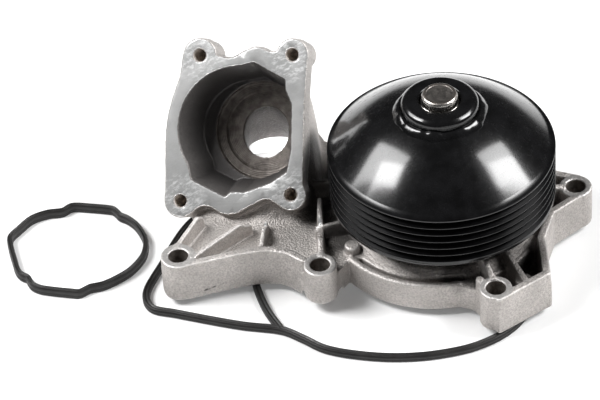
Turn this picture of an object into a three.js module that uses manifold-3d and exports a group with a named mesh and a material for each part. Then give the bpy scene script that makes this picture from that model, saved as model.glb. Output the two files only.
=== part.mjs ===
// Belt-driven coolant pump with a bolted-on thermostat chamber, 6PK pulley and two loose seals.
// Millimetres, +Z up along the pump shaft. The origin is on the shaft axis, in the plane of
// the crankcase mounting face; +X runs from the thermostat chamber to the pulley.
import * as THREE from 'three';
import { mergeVertices } from 'three/addons/utils/BufferGeometryUtils.js';
import { ConvexGeometry } from 'three/addons/geometries/ConvexGeometry.js';
import Module from 'manifold-3d';

const wasm = await Module();
wasm.setup();

// ---- driving dimensions ----
const GAP = 0.3;                 // clearance between neighbouring pieces
const SHAFT_R = 7.96;            // 15.918 mm pump-bearing shaft
const SHAFT_TOP = 76.8;
const SHAFT_END_R = 7.3;         // turned-down outer end
const RIB_PITCH = 3.56;          // 6PK belt
const RIB_COUNT = 6;
const PULLEY_R = 46.2;
const PULLEY_LIP_Z = 49.5;
const PULLEY_FOOT_Z = 25.8;
const PULLEY_INSIDE_R = 40.8;
const DOME_TOP_Z = 67.4;
const DOME_HOLE_R = 16.4;
const HUB_R = 15.6;
const HUB_FOOT_Z = 60.5;
const HUB_TOP_Z = 74.2;
const BEARING_R = 15;            // outer race outside radius
const RACE_R = 12.4;             // outer race inside radius
const BEARING_FOOT_Z = 23;
const BEARING_TOP_Z = 58.5;
const BALL_R = 2.05;
const BALL_COUNT = 8;
const BALL_ROW_Z = 50;
const ROLLER_COUNT = 10;
const ROLLER_LENGTH = 10;
const ROLLER_ROW_Z = 34;
const PITCH_R = 10.18;           // ball and roller centres
const BOSS_TOP_Z = 18;           // bolt boss height
const DECK_Z = 12.5;             // casting deck between its walls
const WALL = 3.2;
const BOLT_HOLE_R = 4.2;
const CHAMBER_DEPTH = 20;        // thermostat chamber, below its flange face
const IMPELLER_R = 29;
const PASSAGE_DEPTH = 7;         // coolant passage in the mounting face
const GROOVE_DEPTH = 2.2;        // seal groove in the mounting face
const SEAL_BORE_R = 16.3;
const WEEP_Z = 20.8;             // drain hole between the face seal and the bearing
const WEEP_ANGLE = -0.35;
const GASKET_WIDTH = 3.2;
const GASKET_HEIGHT = 3;
const CHAMBER_GASKET_WIDTH = 2.4;
const CHAMBER_GASKET_HEIGHT = 4.2;
const FLOOR_Z = -GAP - GASKET_HEIGHT;
const FLANGE_YAW = THREE.MathUtils.degToRad(20);    // thermostat flange normal, left of -Y
const FLANGE_RISE = THREE.MathUtils.degToRad(40);   // and above the horizontal
const FLANGE_CENTRE = new THREE.Vector3(-79, 27, 46);

// ---- bolt bosses: [x, y, boss radius, foot z] ----
const BOLT_BOSSES = [
  [-109.3, -20, 7.2, 0],
  [-52.2, -31.2, 6.7, 2],
  [16.9, -52, 6.6, 0],
  [55.3, 5, 6.8, 0],
  [15, 55, 6.8, 0],
  [-70, 70, 6.8, 0],
];

// ---- helpers: three.js geometry in, manifold solid out ----
const tidy = geometry => {
  const bare = new THREE.BufferGeometry();
  bare.setAttribute('position', geometry.getAttribute('position').clone());
  if (geometry.index) bare.setIndex(geometry.index.clone());
  return mergeVertices(bare, 1e-4);
};

const signedVolume = (points, faces) => {
  const corner = i => new THREE.Vector3(points[3 * i], points[3 * i + 1], points[3 * i + 2]);
  let sum = 0;
  for (let i = 0; i < faces.length; i += 3) {
    const a = corner(faces[i]);
    sum += a.dot(corner(faces[i + 1]).cross(corner(faces[i + 2]))) / 6;
  }
  return sum;
};

const solid = geometry => {
  const closed = tidy(geometry);
  const points = new Float32Array(closed.getAttribute('position').array);
  let faces = [];
  const index = closed.index.array;
  for (let i = 0; i < index.length; i += 3) {
    const [a, b, c] = [index[i], index[i + 1], index[i + 2]];
    if (a !== b && b !== c && c !== a) faces.push(a, b, c);
  }
  if (signedVolume(points, faces) < 0) {
    faces = faces.map((_, i) => faces[3 * Math.floor(i / 3) + (2 - (i % 3))]);
  }
  return new wasm.Manifold(new wasm.Mesh({
    numProp: 3, vertProperties: points, triVerts: new Uint32Array(faces),
  }));
};

const geometryOf = manifold => {
  const mesh = manifold.getMesh();
  const geometry = new THREE.BufferGeometry();
  geometry.setAttribute('position', new THREE.BufferAttribute(new Float32Array(mesh.vertProperties), 3));
  geometry.setIndex(new THREE.BufferAttribute(new Uint32Array(mesh.triVerts), 1));
  geometry.computeVertexNormals();
  return geometry;
};

const join = solids => solids.reduce((whole, next) => whole.add(next));
const shapeOf = points => new THREE.Shape(points.map(p => new THREE.Vector2(p[0], p[1])));

const prism = (shape, low, high, curveSegments = 6) => {
  const geometry = new THREE.ExtrudeGeometry(shape, {
    depth: high - low, bevelEnabled: false, curveSegments,
  });
  geometry.translate(0, 0, low);
  return solid(geometry);
};

const post = (x, y, radius, low, high, sides = 16) => {
  const geometry = new THREE.CylinderGeometry(radius, radius, high - low, sides);
  geometry.rotateX(Math.PI / 2);
  geometry.translate(x, y, (low + high) / 2);
  return solid(geometry);
};

const box = (x0, x1, y0, y1, z0, z1) => {
  const geometry = new THREE.BoxGeometry(x1 - x0, y1 - y0, z1 - z0);
  geometry.translate((x0 + x1) / 2, (y0 + y1) / 2, (z0 + z1) / 2);
  return solid(geometry);
};

// A turned solid about Z. profile is [radius, z] points, closed on itself or ending on the axis.
const turned = (profile, sides = 28) => {
  const onAxis = profile[0][0] === 0;
  const points = profile.map(p => new THREE.Vector2(p[0], p[1]));
  if (!onAxis) points.push(points[0].clone());
  const geometry = new THREE.LatheGeometry(points, sides);
  geometry.rotateX(Math.PI / 2);
  return solid(geometry);
};

const ring = (inner, outer, low, high, sides = 28) =>
  turned([[inner, low], [outer, low], [outer, high], [inner, high]], sides);

// A straight upright wall between two plan points, from low to a top that slopes to highEnd.
const wallBetween = (a, b, width, low, highStart, highEnd = highStart) => {
  const along = new THREE.Vector2(b[0] - a[0], b[1] - a[1]).normalize();
  const side = new THREE.Vector2(-along.y, along.x).multiplyScalar(width / 2);
  const corners = [];
  for (const [end, top] of [[a, highStart], [b, highEnd]]) {
    for (const way of [1, -1]) {
      for (const z of [low, top]) {
        corners.push(new THREE.Vector3(end[0] + way * side.x, end[1] + way * side.y, z));
      }
    }
  }
  return solid(new ConvexGeometry(corners));
};

// The two edges of a flat band of constant width along a smooth plan curve.
const bandEdges = (points, closed, width, steps) => {
  const curve = new THREE.CatmullRomCurve3(
    points.map(p => new THREE.Vector3(p[0], p[1], 0)), closed, 'centripetal');
  const count = closed ? steps : steps + 1;
  return [-width / 2, width / 2].map(offset => {
    const edge = [];
    for (let i = 0; i < count; i++) {
      const here = curve.getPointAt(i / steps);
      const along = curve.getTangentAt(i / steps);
      edge.push(new THREE.Vector2(here.x - along.y * offset, here.y + along.x * offset));
    }
    return edge;
  });
};

const closedBand = (points, width, low, high, steps) => {
  const [outer, inner] = bandEdges(points, true, width, steps);
  const shape = new THREE.Shape(outer);
  shape.holes.push(new THREE.Path(inner));
  return prism(shape, low, high);
};

const openBand = (points, width, low, high, steps) => {
  const [right, left] = bandEdges(points, false, width, steps);
  return prism(new THREE.Shape([...right, ...left.reverse()]), low, high);
};

// ---- thermostat flange frame: local X across, local Y up the face, local Z out of it ----
const flangeNormal = new THREE.Vector3(
  -Math.sin(FLANGE_YAW) * Math.cos(FLANGE_RISE),
  -Math.cos(FLANGE_YAW) * Math.cos(FLANGE_RISE),
  Math.sin(FLANGE_RISE));
const flangeRight = new THREE.Vector3(Math.cos(FLANGE_YAW), -Math.sin(FLANGE_YAW), 0);
const flangeUp = new THREE.Vector3().crossVectors(flangeNormal, flangeRight);
const flangeFrame = new THREE.Matrix4()
  .makeBasis(flangeRight, flangeUp, flangeNormal)
  .setPosition(FLANGE_CENTRE);
const fromFlange = manifold => solid(geometryOf(manifold).applyMatrix4(flangeFrame));
const flangePoint = (x, y, z) => new THREE.Vector3(x, y, z).applyMatrix4(flangeFrame);

const FLANGE_HOLES = [[-23.2, 24.7, 7.2], [15.9, 30.7, 6.8], [-22.2, -36, 7], [24, -26, 6.6]];
const REGISTER = [3, -2.5];      // turned thermostat seat, in the chamber floor

const flangeOutline = () => {
  const shape = new THREE.Shape();
  shape.moveTo(-30.4, 24);
  shape.lineTo(-16, 25.6);
  shape.quadraticCurveTo(-8, 25, -4.5, 29.6);
  shape.quadraticCurveTo(1, 34.2, 6.5, 30.8);
  shape.lineTo(22.6, 31);
  shape.lineTo(24.5, 9);
  shape.lineTo(28.6, -21);
  shape.lineTo(20, -31);
  shape.quadraticCurveTo(14.5, -28.4, 9, -32.4);
  shape.quadraticCurveTo(1, -39.6, -6, -38);
  shape.quadraticCurveTo(-11.5, -35.6, -16, -39.5);
  shape.lineTo(-29, -37);
  shape.quadraticCurveTo(-30, -20, -33, -8);
  shape.quadraticCurveTo(-33.6, 4, -30.6, 15);
  return shape;
};

const chamberOutline = () => {
  const degree = Math.PI / 180;
  const shape = new THREE.Shape();
  shape.moveTo(0, 25);
  shape.absarc(-2, -3, 26, 102 * degree, 222 * degree, false);
  shape.lineTo(-18.9, -26.5);
  shape.lineTo(-3.3, -31);
  shape.lineTo(-1.4, -28.8);
  shape.lineTo(4.5, -28);
  shape.lineTo(14.8, -22.5);
  shape.lineTo(20.8, -17);
  shape.lineTo(21, -8);
  shape.lineTo(18.7, 10.6);
  shape.lineTo(14.6, 16.4);
  shape.lineTo(14, 20);
  return shape;
};

// ---- housing: one aluminium casting ----
// Volute outer wall radius grows with the turning angle, clockwise seen from above.
const voluteRadius = angle => 43.6 + 3.4 * Math.max(0, -angle - Math.PI / 2) / (Math.PI / 3);

const basePlan = () => {
  const points = [
    [-116.4, -19], [-114, -26], [-108, -27.4], [-96, -24.6], [-84, -22], [-75, -21.2],
    [-66, -23.2], [-60, -29], [-52, -37.6], [-45.6, -31],
  ];
  const ARC_STEPS = 7;
  for (let i = 0; i <= ARC_STEPS; i++) {
    const angle = THREE.MathUtils.lerp(-2.6, -1.5, i / ARC_STEPS);
    const r = voluteRadius(angle);
    points.push([r * Math.cos(angle), r * Math.sin(angle)]);
  }
  points.push([9.4, -46.4], [17.4, -60], [39.5, -46], [39.5, -24.5], [44, -10.4], [56, -1.8]);
  points.push([62.1, 4], [58, 11.5], [46, 17]);
  for (let i = 0; i <= ARC_STEPS; i++) {
    const angle = THREE.MathUtils.lerp(0.55, 2.2, i / ARC_STEPS);
    points.push([46 * Math.cos(angle), 46 * Math.sin(angle)]);
  }
  points.push([-46, 52], [-52, 66], [-86, 66], [-98, 50], [-103, 16], [-103, 0], [-112, -13]);
  return points;
};

const frontWalls = () => {
  const path = [[-107, -25.6], [-96, -22.9], [-84, -20.4], [-75, -19.6], [-66, -21.6], [-58, -28]];
  const walls = [];
  for (let i = 1; i < path.length; i++) {
    walls.push(wallBetween(path[i - 1], path[i], WALL, 0, BOSS_TOP_Z));
  }
  return walls;
};

const cornerWalls = () => [
  wallBetween([10.8, -45.8], [17.9, -57.6], WALL, 0, BOSS_TOP_Z),
  wallBetween([17.9, -57.8], [38, -45.2], WALL, 0, BOSS_TOP_Z),
  wallBetween([38, -46], [38, -24], WALL, 0, BOSS_TOP_Z),
  wallBetween([38, -25], [43.5, -9.5], WALL, 0, BOSS_TOP_Z),
  wallBetween([43.5, -9.5], [56, -0.4], WALL, 0, BOSS_TOP_Z),
  wallBetween([57, 10.2], [45, 15.4], WALL, 0, BOSS_TOP_Z),
];

const ribs = () => [
  wallBetween([-110, -14], [-100, 3], 2.6, 0, BOSS_TOP_Z, BOSS_TOP_Z + 2),
  wallBetween([-103, -20.5], [-80, -3], 2.8, 0, BOSS_TOP_Z, BOSS_TOP_Z + 2),
  wallBetween([-76, -19], [-73, -2], 2.6, 0, BOSS_TOP_Z - 1.5, BOSS_TOP_Z + 1),
  wallBetween([-51.5, -27], [-50.5, 4], 3, 0, BOSS_TOP_Z, BOSS_TOP_Z + 4),
  wallBetween([-52, -8.5], [-24, -5], 2.6, 0, BOSS_TOP_Z, BOSS_TOP_Z + 3),
  wallBetween([-52, 14], [-20, 8], 2.6, 0, 24, 24),
  wallBetween([17, -50], [9, -20], 3, 0, BOSS_TOP_Z, 24),
  wallBetween([30, -46], [16, -16], 2.6, 0, 14, 23),
  wallBetween([53, 5], [20, 3], 3, 0, BOSS_TOP_Z, 24),
  wallBetween([15, 53], [8, 20], 3, 0, BOSS_TOP_Z, 24),
  wallBetween([15, 55], [11, 38], 11, 0, DECK_Z),
  wallBetween([-70, 70], [-70, 56], 11, 0, DECK_Z),
];

// The chamber's walls, drawn down from its flange to a foot on the base.
const thermostatBody = () => {
  const rim = [
    [-7, 26.5], [-17, 23], [-26, 14], [-31, 2], [-31, -8], [-27, -20], [-20, -30], [-4, -34],
    [6, -32], [16, -26.5], [24.3, -18], [24.6, -8], [22, 12], [15.5, 23], [0, 28.5],
  ];
  const corners = [];
  for (const depth of [4, CHAMBER_DEPTH + 5]) {
    corners.push(...rim.map(([x, y]) => flangePoint(x, y, -depth)));
  }
  const foot = [
    [-100, 6], [-96, 36], [-86, 60], [-56, 61], [-47.5, 48], [-47.5, 10], [-58, 1], [-88, 0],
  ];
  corners.push(...foot.map(([x, y]) => new THREE.Vector3(x, y, 6)));
  return solid(new ConvexGeometry(corners));
};

const thermostatFlange = () => {
  const plate = prism(flangeOutline(), -9, 0, 4);
  const bosses = FLANGE_HOLES.map(([x, y, r]) => post(x, y, r, -9, 0));
  const stems = FLANGE_HOLES.map(([x, y, r]) => post(x, y, r - 0.6, -17, -8));
  return fromFlange(join([plate, ...bosses, ...stems]));
};

const bearingTower = () => turned([
  [0, 0], [27, 0], [27, 12], [23, 20], [20.4, 26], [20.4, BEARING_TOP_Z - 3],
  [19.4, BEARING_TOP_Z - 2], [0, BEARING_TOP_Z - 2],
]);

const voluteTop = () => turned([[0, 0], [41, 0], [41, DECK_Z], [27, DECK_Z + 2], [0, DECK_Z + 2]], 40);

// Weight-saving pockets between the upright walls, outside the volute.
const POCKET_FLOOR = 4;
const wallPockets = () => [
  [[13.4, -45.6], [18.6, -54.6], [36.2, -43.6], [36.2, -25], [33.5, -25.5], [27, -32.5], [18, -38.2]],
  [[43.6, -6.6], [54, 1], [54.6, 8.4], [44.6, 13], [41.4, 8], [41.8, -4]],
].map(points => prism(shapeOf(points), POCKET_FLOOR, DECK_Z + 2));

const castPads = () => [
  post(29, -43, 3.6, 0, 13, 14),
  post(-38.6, -18.1, 3.1, 0, 15.5, 14),
];

// Straight run from the chamber floor down to the coolant passage in the mounting face.
const suctionBore = () => {
  const start = flangePoint(REGISTER[0] - 0.4, REGISTER[1] - 1.7, -CHAMBER_DEPTH - 1);
  const end = new THREE.Vector3(-67.8, 49, 4);
  const run = new THREE.Vector3().subVectors(end, start);
  const geometry = new THREE.CylinderGeometry(10, 10, run.length() + 5, 28);
  geometry.applyQuaternion(new THREE.Quaternion().setFromUnitVectors(
    new THREE.Vector3(0, 1, 0), run.clone().normalize()));
  geometry.translate(...new THREE.Vector3().addVectors(start, end).multiplyScalar(0.5).toArray());
  return solid(geometry);
};

const chamberCuts = () => {
  const cavity = prism(chamberOutline(), -CHAMBER_DEPTH, 1, 14);
  const seat = post(...REGISTER, 20.3, -CHAMBER_DEPTH - 2.2, -CHAMBER_DEPTH + 0.5, 32);
  const step = post(...REGISTER, 16.5, -CHAMBER_DEPTH - 3.6, -CHAMBER_DEPTH, 28);
  const threads = FLANGE_HOLES.map(([x, y]) => post(x, y, 2.6, -14, 1, 12));
  return [fromFlange(join([cavity, seat, step, ...threads])), suctionBore()];
};

// Spiral pocket for the impeller, open at the mounting face, with its discharge to the left.
const voluteCut = () => {
  const points = [];
  const STEPS = 32;
  for (let i = 0; i < STEPS; i++) {
    const turn = i / STEPS;
    const angle = -Math.PI / 2 - turn * 2 * Math.PI;
    const r = 31 + 6 * turn;
    points.push([r * Math.cos(angle), r * Math.sin(angle)]);
  }
  return prism(shapeOf(points), -1, 9);
};

// Shallow coolant passage in the mounting face, under the thermostat chamber, with two ribs left in it.
const passageCut = () => prism(shapeOf([
  [-91, -7], [-86, -11], [-60, -12], [-50, -6], [-48.5, 16], [-56, 36], [-57, 57], [-60, 60],
  [-79, 60], [-84, 56], [-91, 24],
]), -1, PASSAGE_DEPTH)
  .subtract(wallBetween([-94, 10], [-46, 8], 2.6, 1.5, PASSAGE_DEPTH + 2))
  .subtract(wallBetween([-72, -14], [-70, 26], 2.6, 1.5, PASSAGE_DEPTH + 2));

// One groove for the crankcase seal: round the volute, with a second loop round the passage.
const sealGroove = () => closedBand([
  [-38, -14], [-30, -27], [-14, -37.4], [0, -39.8], [16, -40], [32, -38], [34, -20],
  [40.4, 0], [34, 21], [18, 36.5], [-6, 40.8], [-28, 36], [-40.5, 14], [-41, -4],
], GASKET_WIDTH, -1, GROOVE_DEPTH, 56).add(openBand([
  [-38.5, -12], [-50, -15.5], [-62, -17], [-88, -16], [-96, -8], [-97, 14], [-92, 40], [-87, 58],
  [-80, 63], [-59, 63], [-53.5, 56], [-51, 40], [-42, 22], [-39.5, 12],
], GASKET_WIDTH, -1, GROOVE_DEPTH, 52));

const boltHoles = () => BOLT_BOSSES.map(([x, y]) => post(x, y, BOLT_HOLE_R, -1, BOSS_TOP_Z + 9));

// A radial rod through the tower wall, for the drain hole and its plug.
const weepRod = (radius, inner, outer) => solid(
  new THREE.CylinderGeometry(radius, radius, outer - inner, 12)
    .translate(0, (inner + outer) / 2, 0).rotateZ(WEEP_ANGLE).translate(0, 0, WEEP_Z));

const housing = () => {
  const flangeSideCut = fromFlange(box(-45, 45, -41, 60, 0, 30));
  const grown = join([
    prism(shapeOf(basePlan()), 0, DECK_Z - 0.7).subtract(join(wallPockets())),
    voluteTop(),
    ...castPads(),
    bearingTower(),
    thermostatBody(),
    ...frontWalls(),
    ...cornerWalls(),
    ...ribs(),
    ...BOLT_BOSSES.map(([x, y, r]) => post(x, y, r, 0, BOSS_TOP_Z)),
  ]).subtract(flangeSideCut).add(thermostatFlange());
  const bored = [
    turned([[0, -1], [SEAL_BORE_R, -1], [SEAL_BORE_R, 19], [12, 19], [12, BEARING_FOOT_Z - GAP],
      [BEARING_R + GAP, BEARING_FOOT_Z - GAP], [BEARING_R + GAP, BEARING_TOP_Z], [0, BEARING_TOP_Z]]),
    weepRod(2, 15, 35),
  ];
  return grown.subtract(join([...bored, ...chamberCuts(), voluteCut(), passageCut(), ...boltHoles()]))
    .subtract(sealGroove())
    .subtract(box(-60, -44, -45, -25, -1, 2));
};

// ---- pulley: pressed 6PK shell, welded to a steel hub ----
const pulleyShell = () => {
  const outside = [];
  const DOME_STEPS = 6;
  for (let i = 0; i <= DOME_STEPS; i++) {
    const t = i / DOME_STEPS;
    const r = THREE.MathUtils.lerp(DOME_HOLE_R, PULLEY_R - 1.6, t);
    outside.push([r, THREE.MathUtils.lerp(DOME_TOP_Z + 1.2, PULLEY_LIP_Z + 0.9, t) + 2.2 * Math.sin(Math.PI * t)]);
  }
  const inside = outside.map(([r, z], i) => [Math.min(r, PULLEY_INSIDE_R) - (i ? 0.9 : 0), z - 2.8]);
  outside.push([PULLEY_R - 0.2, PULLEY_LIP_Z - 0.4]);
  for (let i = 0; i < RIB_COUNT; i++) {
    const tip = PULLEY_LIP_Z - i * RIB_PITCH;
    outside.push([PULLEY_R, tip - 0.8], [PULLEY_R - 2.6, tip - 1.5]);
    outside.push([PULLEY_R - 2.6, tip - 2], [PULLEY_R - 0.2, tip - RIB_PITCH + 0.4]);
  }
  outside.push([PULLEY_R, PULLEY_FOOT_Z + 1.2], [PULLEY_R - 0.6, PULLEY_FOOT_Z]);
  outside.push([PULLEY_INSIDE_R, PULLEY_FOOT_Z]);
  return turned([...outside, ...inside.reverse()], 36);
};

const pulleyHub = () => turned([
  [SHAFT_R + GAP, HUB_FOOT_Z], [12.5, HUB_FOOT_Z], [HUB_R, HUB_FOOT_Z + 3], [HUB_R, HUB_TOP_Z - 1.8],
  [HUB_R - 1.4, HUB_TOP_Z - 0.4], [HUB_R - 2.4, HUB_TOP_Z], [SHAFT_R + GAP, HUB_TOP_Z],
], 36);

const hubWeld = () => turned([
  [HUB_R + GAP, DOME_TOP_Z + 1.9], [19.6, DOME_TOP_Z + 1.35], [18.8, DOME_TOP_Z + 2.2],
  [17.4, DOME_TOP_Z + 2.9], [HUB_R + GAP, DOME_TOP_Z + 2.5],
], 36);

// ---- shaft and bearing ----
const shaft = () => {
  const neck = BALL_R - 0.1;
  return turned([
    [0, 0], [SHAFT_R - 1, 0], [SHAFT_R, 1], [SHAFT_R, BALL_ROW_Z - neck], [SHAFT_R - 0.15, BALL_ROW_Z],
    [SHAFT_R, BALL_ROW_Z + neck], [SHAFT_R, HUB_TOP_Z - 0.6], [SHAFT_END_R, HUB_TOP_Z],
    [SHAFT_END_R, SHAFT_TOP - 0.8], [SHAFT_END_R - 0.8, SHAFT_TOP], [0, SHAFT_TOP],
  ], 36);
};

const bearingRace = () => ring(RACE_R, BEARING_R, BEARING_FOOT_Z, BEARING_TOP_Z, 36);

const ballCage = () => {
  const band = ring(9.35, 11, BALL_ROW_Z - 3.4, BALL_ROW_Z + 1.2, 32);
  const pockets = [];
  for (let i = 0; i < BALL_COUNT; i++) {
    pockets.push(solid(new THREE.CylinderGeometry(BALL_R + GAP, BALL_R + GAP, 4, 12)
      .rotateZ(Math.PI / 2).translate(PITCH_R, 0, 0).rotateZ((i / BALL_COUNT) * 2 * Math.PI)
      .translate(0, 0, BALL_ROW_Z)));
  }
  return band.subtract(join(pockets));
};

const rowPoint = (i, count, z) => {
  const angle = (i / count) * 2 * Math.PI;
  return [PITCH_R * Math.cos(angle), PITCH_R * Math.sin(angle), z];
};

const rollerCage = () => {
  const half = ROLLER_LENGTH / 2;
  const band = ring(9.35, 11, ROLLER_ROW_Z - half - 1.6, ROLLER_ROW_Z + half + 1.6, 32);
  const windows = [];
  for (let i = 0; i < ROLLER_COUNT; i++) {
    const angle = (i / ROLLER_COUNT) * 2 * Math.PI;
    windows.push(solid(new THREE.BoxGeometry(4, 2 * (BALL_R + GAP), ROLLER_LENGTH + 2 * GAP)
      .translate(PITCH_R, 0, 0).rotateZ(angle).translate(0, 0, ROLLER_ROW_Z)));
  }
  return band.subtract(join(windows));
};

const lipSeal = (low, high) => turned([
  [8.4, low], [RACE_R - GAP, low], [RACE_R - GAP, high], [10.6, high], [10.6, low + 0.9], [8.4, low + 0.9],
], 28);

// ---- face seal between the impeller and the bearing ----
const sealCup = () => turned([
  [10.2, 18.6], [10.2, 18], [14.9, 18], [14.9, 9.6], [15.9, 9.6], [15.9, 18.6],
], 28);
const sealBellows = () => turned([
  [9.4, 11.2], [10.6, 11.2], [10.6, 13], [11.6, 13.8], [10.6, 14.6], [10.6, 17.6], [9.4, 17.6],
], 28);
const sealFace = () => ring(8.5, 12.4, 9.2, 10.9, 32);
const matingRing = () => ring(9.1, 13, 6.6, 8.9, 32);
const matingBoot = () => turned([
  [SHAFT_R + GAP, 5.4], [13.4, 5.4], [13.4, 6.3], [8.8, 6.3], [8.8, 8.6], [SHAFT_R + GAP, 8.6],
], 28);

const sealSpring = () => {
  const TURNS = 3;
  const STEPS_PER_TURN = 18;
  class Helix extends THREE.Curve {
    getPoint(t, target = new THREE.Vector3()) {
      const angle = t * TURNS * 2 * Math.PI;
      return target.set(13.2 * Math.cos(angle), 13.2 * Math.sin(angle), 11.4 + 5.6 * t);
    }
  }
  const section = new THREE.Shape().absarc(0, 0, 0.6, 0, 2 * Math.PI, false);
  return solid(new THREE.ExtrudeGeometry(section, {
    extrudePath: new Helix(), steps: TURNS * STEPS_PER_TURN, curveSegments: 3, bevelEnabled: false,
  }));
};

const slinger = () => turned([
  [SHAFT_R + GAP, 19.6], [11.2, 19.6], [11.4, 20.6], [9.2, 20.6], [9.2, 22.2], [SHAFT_R + GAP, 22.2],
], 28);

const weepPlug = () => weepRod(1.65, 21.1, 24.1);

// ---- impeller: shrouded disc with curved vanes facing the mounting face ----
const impeller = () => {
  const VANES = 7;
  const disc = turned([
    [SHAFT_R + GAP, 0.4], [11, 0.4], [11, 3.2], [IMPELLER_R, 3.2], [IMPELLER_R, 4.6],
    [12, 4.9], [SHAFT_R + GAP, 4.9],
  ], 32);
  const vanes = [];
  for (let i = 0; i < VANES; i++) {
    const start = (i / VANES) * 2 * Math.PI;
    const path = [0, 1, 2, 3].map(k => {
      const r = 10.6 + k * 6;
      return [r * Math.cos(start - k * 0.24), r * Math.sin(start - k * 0.24)];
    });
    for (let k = 1; k < path.length; k++) {
      vanes.push(wallBetween(path[k - 1], path[k], 1.8, 0.4, 3.6));
    }
  }
  return disc.add(join(vanes));
};

// ---- loose rubber seals ----
const crankcaseGasket = () => {
  const loop = closedBand([
    [-86, -42.6], [-69, -47.4], [-61, -53], [-52.6, -59.6], [-38.9, -64.6], [-23.1, -67.4],
    [-7.1, -67.2], [9.1, -63.6], [23, -55], [32, -41], [35, -20], [33, 4], [22, 26], [2, 40],
    [-22, 43], [-46, 36], [-64, 29], [-79, 32], [-93, 31], [-105, 21], [-117, -3],
    [-124, -21], [-121.6, -29], [-112, -33],
  ], GASKET_WIDTH, FLOOR_Z, -GAP, 96);
  const divider = openBand([
    [-69.5, -47], [-74, -37.4], [-77, -28], [-79, -16], [-77, 2], [-65, 28.6],
  ], GASKET_WIDTH, FLOOR_Z, -GAP, 26);
  return loop.add(divider);
};

const thermostatGasket = () => closedBand([
  [-180.1, 12], [-178.6, 5], [-176.9, -2.1], [-175.3, -4.8], [-172.7, -6.8], [-171.9, -8.7],
  [-170.4, -11.5], [-167.4, -13.6], [-161.9, -15.4], [-155, -17.1], [-151.4, -17.8], [-148.8, -16.4],
  [-146.8, -15.2], [-141.8, -14.2], [-136, -11.1], [-130.5, -6.9], [-126.3, -1.2], [-124.4, 3.3],
  [-123.8, 10.1], [-125.2, 15.6], [-127.9, 21.3], [-131.5, 25.5], [-134.3, 27.5], [-135.5, 29.4],
  [-137.3, 31.7], [-139.5, 32.6], [-146.1, 34.2], [-153.6, 35.7], [-155.7, 35.3], [-158.8, 33],
  [-164.9, 32.5], [-171.9, 29.6], [-177.4, 23.3], [-179.9, 20.2], [-180.8, 18.1],
], CHAMBER_GASKET_WIDTH, FLOOR_Z, FLOOR_Z + CHAMBER_GASKET_HEIGHT, 110);

// ---- scene ----
const material = (color, roughness, metalness) =>
  new THREE.MeshStandardMaterial({ color, roughness, metalness });
const MATERIALS = {
  castAluminium: material(0xb9b4ae, 0.6, 0.8),
  blackPaint: material(0x0a0a0b, 0.18, 0.2),
  steel: material(0x9a948c, 0.32, 1),
  rubber: material(0x1a1b1c, 0.7, 0),
  seal: material(0x33332f, 0.6, 0),
  carbon: material(0x2a2a2c, 0.4, 0.2),
  ceramic: material(0xd8d4c8, 0.3, 0),
  plastic: material(0x6d655a, 0.5, 0),
};

const pump = new THREE.Group();
const place = (name, manifold, finish) => {
  const mesh = new THREE.Mesh(geometryOf(manifold), MATERIALS[finish]);
  mesh.name = name;
  pump.add(mesh);
  return mesh;
};

place('housing', housing(), 'castAluminium');
place('bearing_outer_race', bearingRace(), 'steel');
place('bearing_seal_front', lipSeal(BEARING_TOP_Z - 1.8, BEARING_TOP_Z - 0.2), 'seal');
place('bearing_seal_rear', lipSeal(BEARING_FOOT_Z + 0.3, BEARING_FOOT_Z + 1.9), 'seal');
place('seal_cup', sealCup(), 'steel');
place('seal_bellows', sealBellows(), 'rubber');
place('seal_spring', sealSpring(), 'steel');
place('seal_carbon_face', sealFace(), 'carbon');
place('weep_hole_plug', weepPlug(), 'plastic');

place('shaft', shaft(), 'steel');
place('pulley_hub', pulleyHub(), 'blackPaint');
place('pulley_shell', pulleyShell(), 'blackPaint');
place('hub_weld_bead', hubWeld(), 'blackPaint');
place('slinger', slinger(), 'steel');
place('seal_mating_ring', matingRing(), 'ceramic');
place('seal_mating_boot', matingBoot(), 'rubber');
place('impeller', impeller(), 'plastic');

place('ball_cage', ballCage(), 'plastic');
for (let i = 0; i < BALL_COUNT; i++) {
  const ball = place(`bearing_ball_${i + 1}`, solid(new THREE.SphereGeometry(BALL_R, 10, 7)), 'steel');
  ball.position.set(...rowPoint(i, BALL_COUNT, BALL_ROW_Z));
}
place('roller_cage', rollerCage(), 'plastic');
for (let i = 0; i < ROLLER_COUNT; i++) {
  const roller = place(`bearing_roller_${i + 1}`, post(0, 0, BALL_R, 0, ROLLER_LENGTH, 12), 'steel');
  roller.position.set(...rowPoint(i, ROLLER_COUNT, ROLLER_ROW_Z - ROLLER_LENGTH / 2));
}

place('crankcase_gasket', crankcaseGasket(), 'rubber');
place('thermostat_gasket', thermostatGasket(), 'rubber');

export default pump;
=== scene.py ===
import math

import bmesh
import bpy
import numpy as np
import openvdb
from mathutils import Matrix, Vector


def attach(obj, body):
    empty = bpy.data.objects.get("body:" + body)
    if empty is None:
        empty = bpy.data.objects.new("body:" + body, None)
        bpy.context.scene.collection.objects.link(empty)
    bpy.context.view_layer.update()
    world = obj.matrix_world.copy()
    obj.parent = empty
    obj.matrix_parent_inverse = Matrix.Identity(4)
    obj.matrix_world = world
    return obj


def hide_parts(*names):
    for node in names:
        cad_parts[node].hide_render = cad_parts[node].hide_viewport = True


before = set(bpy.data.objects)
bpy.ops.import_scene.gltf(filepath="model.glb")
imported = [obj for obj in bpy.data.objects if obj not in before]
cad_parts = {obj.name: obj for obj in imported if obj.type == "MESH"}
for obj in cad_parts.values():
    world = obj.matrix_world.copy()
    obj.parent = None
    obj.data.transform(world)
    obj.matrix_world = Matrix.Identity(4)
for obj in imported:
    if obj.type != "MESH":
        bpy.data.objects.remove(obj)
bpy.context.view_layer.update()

# Shapes are worked out in millimetres, in the pump's own frame, and turned into metres when meshed.
MM = 0.001
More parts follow.
